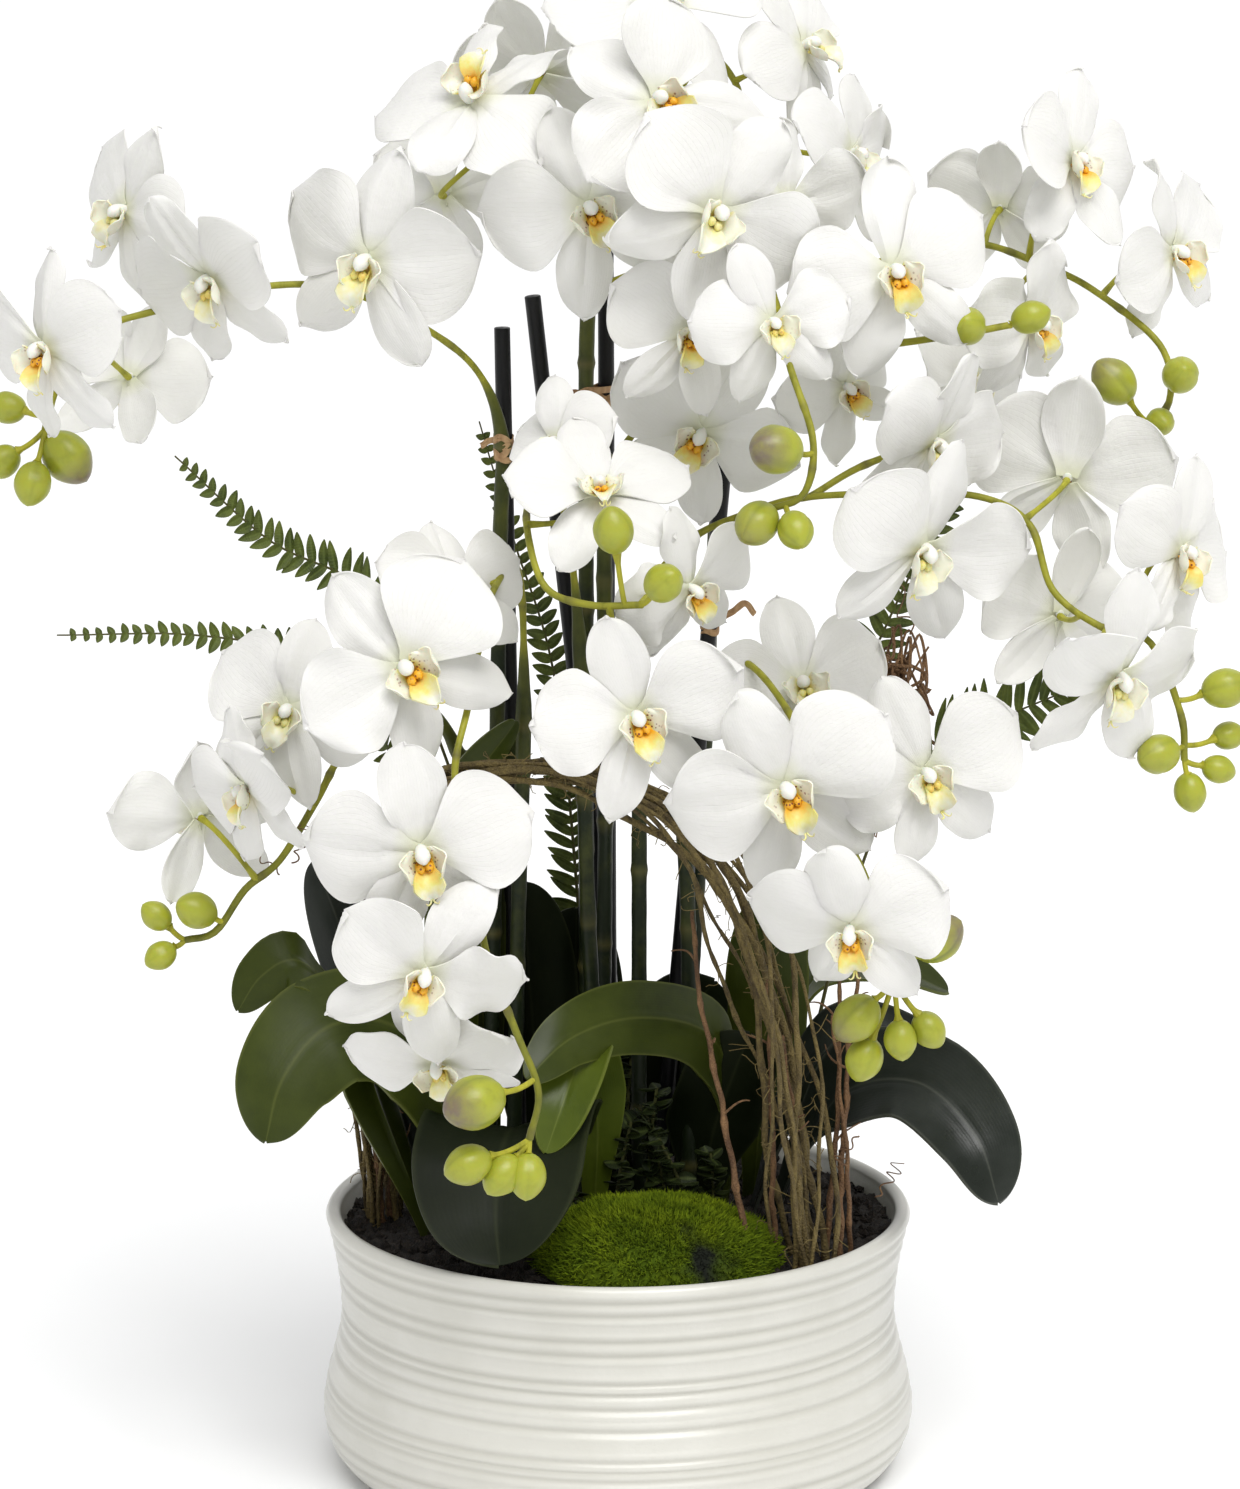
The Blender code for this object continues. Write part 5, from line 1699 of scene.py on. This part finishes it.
# Layout, in millimetres from the middle of the soil surface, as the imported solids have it

# A spray's stems, its flowers with nodes of their own, those packed in one with it, any that only stand
# here, and its buds. A flower is its centre, the azimuth and elevation that it faces, its roll and its size.
SPRAYS = {
    "left_arch_spray": {
        "stems": [[(-62, 4, 0), (-58, 8, 190), (-55, 9, 330), (-54, 8, 376), (-64, 0, 408),
                   (-87, -5, 429), (-125, -15, 449), (-157, -20, 452), (-184, -25, 446),
                   (-213, -30, 441), (-236, -35, 433), (-254, -40, 411), (-261, -45, 389)]],
        "thick_to": 376,
        "blooms": [((-113, -45, 466), -25, -5, -12, 104), ((-183, -62, 460), -38, -22, 18, 92),
                   ((-226, -5, 484), -48, 2, -20, 88), ((-256, -84, 432), -40, -10, 10, 92)],
        "joined": [((-227, 10, 405), 165, -25, 15, 78)],
        "buds": [((-251, -44, 376), 11), ((-266, -56, 366), 8.5), ((-281, -44, 374), 7.5),
                 ((-279, -36, 398), 7.5)],
    },
    "crown_spray": {
        "stems": [[(-15, 24, 0), (-15, 24, 300), (-14, 22, 435), (-6, 20, 480), (-4, 15, 510),
                   (8, 12, 545), (21, 6, 560)],
                  [(-11, 21, 455), (-20, 25, 480), (-34, 25, 505), (-48, 20, 519)],
                  [(-6, 20, 480), (12, 34, 505), (38, 48, 548), (54, 42, 540), (60, 32, 513)],
                  [(-12, 21, 445), (20, 16, 458), (46, -30, 475), (68, -82, 458), (76, -112, 428),
                   (86, -127, 397), (82, -132, 374), (67, -132, 367)]],
        "thick_to": 435,
        "blooms": [((-66, -20, 537), -30, 40, 170, 98), ((-13, -48, 490), 10, 5, 25, 98),
                   ((18, -66, 540), 15, 20, 50, 98), ((43, -96, 494), 20, 0, -38, 104),
                   ((18, 2, 578), 0, 40, 18, 104)],
        "joined": [((-36, 50, 542), 165, 25, -15, 88), ((86, 28, 556), 60, 25, 25, 84),
                   ((107, 12, 508), 55, 5, -15, 86), ((68, -112, 447), 20, 0, 12, 74)],
        "extra": [((-81, 45, 486), 160, 0, 0, 84), ((76, -40, 492), 25, 0, 0, 78)],
        "buds": [((-31, 4, 515), 5.5), ((69, -146, 396), 11), ((61, -140, 362), 9.5),
                 ((78, -146, 360), 8)],
    },
    "right_spray": {
        "stems": [[(30, 32, 0), (40, 30, 200), (46, 27, 330), (60, 40, 400), (86, 60, 435),
                   (130, 54, 456), (167, 40, 464), (198, 20, 456), (221, 15, 445), (251, 5, 421),
                   (255, -5, 397), (243, -10, 384)]],
        "thick_to": 330,
        "blooms": [((208, -9, 507), 40, 15, -15, 88), ((258, 24, 462), 44, 0, 20, 88)],
        "joined": [((190, -22, 436), 55, -15, 15, 84), ((163, 16, 404), 50, -10, -25, 80)],
        "extra": [((180, 60, 478), 160, 10, 0, 72)],
        "buds": [((228, -14, 407), 10), ((258, -22, 411), 8.5), ((250, -14, 388), 6.5),
                 ((240, -16, 378), 6)],
    },
    "middle_spray": {
        "stems": [[(-8, 12, 0), (-6, 12, 200), (-6, 10, 350), (0, -2, 370), (17, -15, 394),
                   (47, -35, 422), (85, -50, 436), (118, -55, 430), (154, -60, 435), (176, -60, 439)]],
        "thick_to": 350,
        "blooms": [((123, -84, 466), 15, 5, 12, 98), ((38, -30, 385), -10, -15, -30, 92)],
        "joined": [((32, -72, 437), 20, -5, -12, 80), ((104, -34, 407), 30, -10, 30, 72)],
        "buds": [((157, -70, 440), 8.5), ((186, -62, 443), 7.5)],
    },
    "mid_right_spray": {
        "stems": [[(10, 0, 0), (10, 2, 200), (10, 4, 290), (31, -10, 330), (65, -25, 349), (88, -38, 357),
                   (129, -47, 360), (165, -50, 359), (187, -60, 348), (197, -72, 320), (218, -82, 305),
                   (240, -88, 299), (254, -95, 267), (256, -95, 246)],
                  [(88, -38, 357), (108, -30, 368), (128, -28, 376)]],
        "thick_to": 290,
        "blooms": [((142, -76, 388), 40, -20, -14, 86), ((206, -32, 364), 170, 5, 12, 98),
                   ((135, -117, 347), 30, -22, -18, 98), ((254, -76, 338), 42, 0, -15, 88)],
        "joined": [((202, -50, 304), -165, 5, 10, 84), ((222, -128, 291), 30, -25, -12, 96)],
        "buds": [((274, -94, 279), 9), ((243, -106, 251), 9), ((259, -95, 231), 7.5),
                 ((272, -92, 241), 6.5), ((277, -84, 255), 6.5)],
    },
    "centre_spray": {
        "stems": [[(-6, -10, 0), (-14, -6, 150), (-18, -2, 283), (-27, -22, 355), (-40, -82, 361),
                   (-39, -117, 348), (-31, -132, 331), (-12, -142, 326), (10, -147, 327)]],
        "thick_to": 283,
        "blooms": [((8, -150, 277), 12, 0, 18, 98)],
        "joined": [((32, -122, 330), 45, -20, 25, 76), ((-8, -112, 371), 0, 55, 8, 86)],
        "extra": [((-28, -76, 388), -15, 15, 0, 62)],
        "buds": [((-2, -156, 362), 9), ((20, -164, 340), 8.5)],
    },
    "front_left_spray": {
        "stems": [[(-50, -12, 0), (-47, -8, 150), (-44, -6, 254), (-46, -24, 320), (-58, -80, 317),
                   (-66, -134, 281), (-72, -154, 249), (-62, -168, 207), (-58, -174, 176),
                   (-45, -183, 143), (-35, -188, 117), (-39, -188, 95)]],
        "thick_to": 254,
        "blooms": [((-93, -152, 300), 5, 5, 42, 104), ((-86, -182, 224), 8, -10, 12, 102),
                   ((-85, -193, 172), 4, -18, -26, 92)],
        "joined": [((-80, -156, 122), -10, -40, 15, 84)],
        "extra": [((-74, -72, 322), 25, 30, 0, 76)],
        "buds": [((-63, -204, 116), 12), ((-66, -198, 86), 9), ((-51, -193, 80), 8.5),
                 ((-40, -192, 79), 8.5)],
    },
    "left_spray": {
        "stems": [[(-74, 18, 0), (-72, 20, 200), (-76, 16, 226), (-88, 10, 248), (-102, 0, 254),
                   (-126, -40, 239), (-138, -58, 220), (-155, -66, 193), (-171, -70, 180),
                   (-185, -70, 160), (-199, -70, 156)]],
        "thick_to": 226,
        "blooms": [],
        "joined": [((-150, -80, 266), -10, 0, -20, 88), ((-166, -112, 236), -50, -5, 22, 78),
                   ((-192, -62, 212), -150, 5, -10, 84)],
        "buds": [((-193, -78, 172), 8.5), ((-212, -72, 168), 6.5), ((-210, -76, 150), 6.5)],
    },
    "front_right_spray": {
        "stems": [[(34, 2, 0), (33, 0, 150), (29, -4, 254), (56, -60, 285), (82, -108, 262),
                   (98, -130, 226), (112, -145, 198), (113, -150, 171), (123, -150, 158)]],
        "thick_to": 254,
        "blooms": [((74, -156, 246), 10, 0, 22, 104), ((137, -134, 248), 15, 0, 20, 92)],
        "joined": [((84, -66, 274), 5, 25, 12, 92), ((102, -180, 188), -5, -20, 8, 92)],
        "buds": [((142, -154, 178), 10.5), ((106, -155, 141), 10), ((110, -150, 121), 8.5),
                 ((126, -154, 131), 7.5), ((139, -148, 134), 7.5)],
    },
}


class LeafTone(Enum):
    """The leaves' skins."""

    OLIVE = LeafSkin("olive_leaf", (0.024, 0.034, 0.003), (0.050, 0.066, 0.006), (0.10, 0.115, 0.022))
    BRIGHT = LeafSkin("bright_leaf", (0.048, 0.070, 0.005), (0.085, 0.115, 0.009), (0.14, 0.17, 0.028))
    DEEP = LeafSkin("deep_leaf", (0.005, 0.008, 0.002), (0.010, 0.014, 0.004), (0.026, 0.032, 0.012), 0.46)
    SLATE = LeafSkin("slate_leaf", (0.008, 0.011, 0.007), (0.019, 0.023, 0.018), (0.060, 0.065, 0.050), 0.30)


# A leaf: its midrib, the direction of its width, its greatest width and its skin. The last entry is
# which way its width runs at its tip, where it isn't as at its foot.
LEAVES = {
    "leaf_left_drooping": ([(-70, -12, 0), (-84, -22, 60), (-103, -38, 104), (-133, -60, 112),
                            (-154, -76, 92), (-162, -84, 64)], (0.1, 0.5, 0.85), 56, LeafTone.OLIVE,
                           (-0.85, 0.25, 0.45)),
    "leaf_left_small": ([(-90, -18, 0), (-112, -24, 60), (-130, -30, 112), (-150, -34, 136),
                         (-166, -36, 130), (-177, -38, 114)], (0.2, 0.5, 0.8), 34, LeafTone.OLIVE,
                        (-0.7, 0.35, 0.62)),
    "leaf_left_tall": ([(-92, 26, 0), (-108, 26, 60), (-126, 24, 120), (-144, 20, 172)], (0.9, 0.1, 0.3),
                       30, LeafTone.SLATE),
    "leaf_front": ([(-34, -24, 0), (-40, -40, 44), (-48, -64, 66), (-54, -90, 60), (-56, -110, 38),
                    (-54, -121, 16)], (1.0, 0.0, 0.1), 80, LeafTone.DEEP),
    "leaf_centre_arching": ([(50, 14, 0), (54, 4, 54), (42, -24, 98), (10, -54, 115), (-20, -82, 114),
                             (-42, -100, 98)], (0.35, 0.5, 0.75), 34, LeafTone.OLIVE),
    "leaf_centre_hanging": ([(-12, -24, 0), (-10, -36, 60), (-15, -52, 98), (-18, -72, 100),
                             (-25, -88, 84), (-33, -96, 62)], (1.0, 0.1, 0.2), 30, LeafTone.BRIGHT),
    "leaf_right_drooping": ([(72, -8, 0), (88, -18, 44), (108, -36, 76), (140, -62, 86), (165, -84, 66),
                             (175, -95, 38)], (0.1, 0.6, 0.8), 46, LeafTone.SLATE, (0.85, 0.3, 0.42)),
    "leaf_right_upper": ([(64, 16, 0), (80, 12, 50), (103, 4, 88), (135, -2, 84), (165, -6, 62)],
                         (0.1, 0.6, 0.8), 38, LeafTone.SLATE, (0.35, 0.6, 0.7)),
    "leaf_right_back": ([(74, 58, 0), (82, 62, 70), (98, 62, 108), (130, 62, 110), (160, 60, 98)],
                        (0.0, 0.9, 0.4), 34, LeafTone.OLIVE),
    "leaf_back_broad": ([(38, 56, 0), (39, 64, 50), (41, 74, 96)], (1.0, 0.0, 0.0), 44, LeafTone.DEEP),
}

# A frond: rachis points, the direction across it, its longest leaflet, the share that stays bare and how
# much shorter the last leaflets are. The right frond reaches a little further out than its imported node.
FRONDS = {
    "frond_upper_left": ([(-34, 48, 0), (-62, 42, 150), (-95, 32, 255), (-119, 20, 303), (-162, 0, 330),
                          (-204, -20, 373)], (0.3, 0.4, 0.8), 18, 0.6, 0.78),
    "frond_lower_left": ([(-44, 60, 0), (-78, 52, 130), (-112, 32, 230), (-141, 10, 271),
                          (-195, -10, 287), (-259, -30, 291)], (0.0, 0.4, 0.9), 13.2, 0.5, 0.78),
    "frond_behind_stakes": ([(-12, 70, 0), (-18, 68, 120), (-30, 62, 250), (-50, 64, 320),
                             (-66, 66, 376)], (1.0, 0.0, 0.2), 16.8, 0.2, 0.78),
    "frond_upper_right": ([(48, 52, 0), (70, 54, 120), (98, 52, 215), (120, 54, 262), (146, 56, 318),
                           (178, 60, 376)], (0.9, 0.1, -0.3), 18, 0.5, 0.78),
    "frond_right": ([(84, 36, 0), (98, 30, 100), (122, 12, 190), (142, -8, 226), (163, -20, 243),
                     (224, -40, 274)], (-0.3, 0.3, 0.9), 26.4, 0.6, 0.45),
}
VINE_POINTS = [(-112, 6, 0), (-118, 4, 70), (-118, -6, 140), (-102, -36, 200), (-77, -58, 229),
               (-35, -62, 235), (-8, -66, 229), (26, -72, 212), (53, -77, 176), (75, -77, 105),
               (89, -70, 0)]

# Twigs: each sheaf's lines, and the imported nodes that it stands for.
SHEAVES = {
    "right_twigs": ([[(103, -64, 0), (105, -66, 70), (110, -70, 140)],
                     [(96, -60, 0), (101, -64, 60), (103, -60, 148)],
                     [(108, -58, 0), (106, -66, 50), (99, -70, 120)]], ("twig_sheaf",)),
    "front_twigs": ([[(62, -82, 0), (48, -84, 80), (38, -82, 130), (34, -80, 172)],
                     [(73, -72, 0), (71, -72, 70), (69, -74, 138)],
                     [(84, -78, 0), (82, -80, 60), (76, -76, 112)]], ()),
    "left_twigs": ([[(-112, -4, 0), (-118, -2, 78), (-112, -2, 110)], [(-108, 2, 0), (-111, 4, 84)],
                    [(-116, 4, 0), (-108, 2, 60), (-104, 6, 100)]], ()),
}
TENDRILS = [((126, -40, 205), 26), ((-150, -60, 190), 24), ((-156, -58, 184), 17), ((120, -60, 30), 20),
            ((136, -12, 288), 44), ((104, -50, 150), 24), ((112, -62, 60), 18), ((-96, -30, 205), 20)]
NEST_CENTRE = (129, -12, 264)
SPRIGS = [((-20, -36, 0), 42), ((-4, -30, 0), 58), ((12, -26, 0), 74), ((26, -28, 0), 66),
          ((38, -34, 0), 50), ((-30, -10, 0), 70), ((2, -8, 0), 84), ((46, -20, 0), 40),
          ((20, 60, 0), 60), ((-40, 60, 0), 66), ((60, 70, 0), 52), ((-12, 84, 0), 48)]

# A stake: where it meets the soil and where its top is.
STAKES = {
    "stake_left": ((-47, 22, 0), (-54, 22, 427)),
    "stake_leaning": ((8, 54, 0), (-40, 36, 440)),
    "stake_middle": ((-4, 38, 0), (-6, 38, 526)),
    "stake_right": ((18, 24, 0), (54, 8, 419)),
}

# A tie: the stake and the spray that it holds together, and its height above the soil.
TIES = {
    "tie_left": ("stake_left", "left_arch_spray", 372),
    "tie_middle": ("stake_middle", "crown_spray", 392),
    "tie_right": ("stake_right", "right_spray", 290),
}


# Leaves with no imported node.
ADDED_LEAVES = {
    "leaf_shade_left": ([(-34, 40, 0), (-40, 38, 70), (-44, 34, 130), (-46, 28, 160)], (1.0, 0.1, 0.0),
                        46, LeafTone.DEEP),
    "leaf_shade_middle": ([(-60, 30, 0), (-66, 26, 120), (-62, 18, 200), (-50, 6, 240)], (0.9, 0.3, 0.2),
                          26, LeafTone.OLIVE),
    "leaf_shade_right": ([(66, 40, 0), (70, 38, 70), (72, 32, 130), (70, 24, 156)], (1.0, -0.1, 0.0), 40,
                         LeafTone.OLIVE),
    "leaf_shade_low": ([(14, 44, 0), (18, 40, 50), (30, 32, 90), (46, 26, 112)], (0.9, 0.1, -0.3), 48,
                       LeafTone.DEEP),
    "leaf_shade_front": ([(40, 6, 0), (44, 0, 40), (54, -12, 76), (62, -20, 98)], (0.95, 0.1, -0.2), 44,
                         LeafTone.DEEP),
    "leaf_shade_arch": ([(-70, 8, 0), (-78, 2, 120), (-72, -10, 206), (-48, -24, 250)], (0.8, 0.3, -0.2),
                        26, LeafTone.OLIVE),
    "leaf_shade_far": ([(-12, 66, 0), (-16, 64, 60), (-20, 58, 110), (-20, 50, 142)], (1.0, 0.0, 0.0), 42,
                       LeafTone.DEEP),
}


def build_sprays() -> dict[str, Spray]:
    """Builds every spray with its flowers and buds.

    Returns:
        The sprays by name.
    """
    bark, skin, petal, lip = Bark().make(), BudSkin().make(), Petal().make(), LipFlesh().make()
    sprays = {}
    for seed, (name, plan) in enumerate(SPRAYS.items()):
        sprays[name] = Spray(name=name, seed=seed, **plan)
        sprays[name].build(bark, skin, petal, lip)
    return sprays


def build_greens() -> None:
    """Builds the leaves, the fronds and the undergrowth."""
    skins = {tone: tone.value.make() for tone in LeafTone}
    for seed, (name, (points, across, width, tone, *tip)) in enumerate({**LEAVES, **ADDED_LEAVES}.items()):
        Leaf(name, points, across, width, name in LEAVES, *tip).build(skins[tone], seed)
    fern = FernSkin("fern_green", (0.042, 0.060, 0.009), (0.105, 0.130, 0.020)).make()
    for seed, (name, plan) in enumerate(FRONDS.items()):
        Frond(name, *plan).build(fern, seed)
    sprig = FernSkin("shaded_sprig", (0.010, 0.017, 0.004), (0.030, 0.042, 0.009)).make()
    Undergrowth(SPRIGS).build(sprig)


def build_woods() -> None:
    """Builds the vine bundle, the twigs, the tendrils and the nest."""
    mossy = Grit("mossy_vine", (0.060, 0.040, 0.013),
                 (0.190, 0.140, 0.045), 240.0, 0.85, 0.0009, (1.0, 1.0, 0.4))
    ruddy = Grit("ruddy_twig", (0.085, 0.040, 0.016),
                 (0.240, 0.130, 0.055), 260.0, 0.80, 0.0008, (1.0, 1.0, 0.3))
    VineBundle(VINE_POINTS).build(mossy.make())
    TwigWork(SHEAVES, TENDRILS, NEST_CENTRE).build(ruddy.make())


def main() -> None:
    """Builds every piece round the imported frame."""
    logging.basicConfig(level=logging.INFO, format="%(message)s")
    Studio().build()
    Bowl().build()
    SoilBed().build()
    MossCushion().build()
    StakeSet(STAKES).build()
    sprays = build_sprays()
    RaffiaTies(TIES, STAKES, {name: spray.paths[0] for name, spray in sprays.items()}).build()
    build_greens()
    build_woods()
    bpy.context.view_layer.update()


if __name__ == "__main__":
    main()
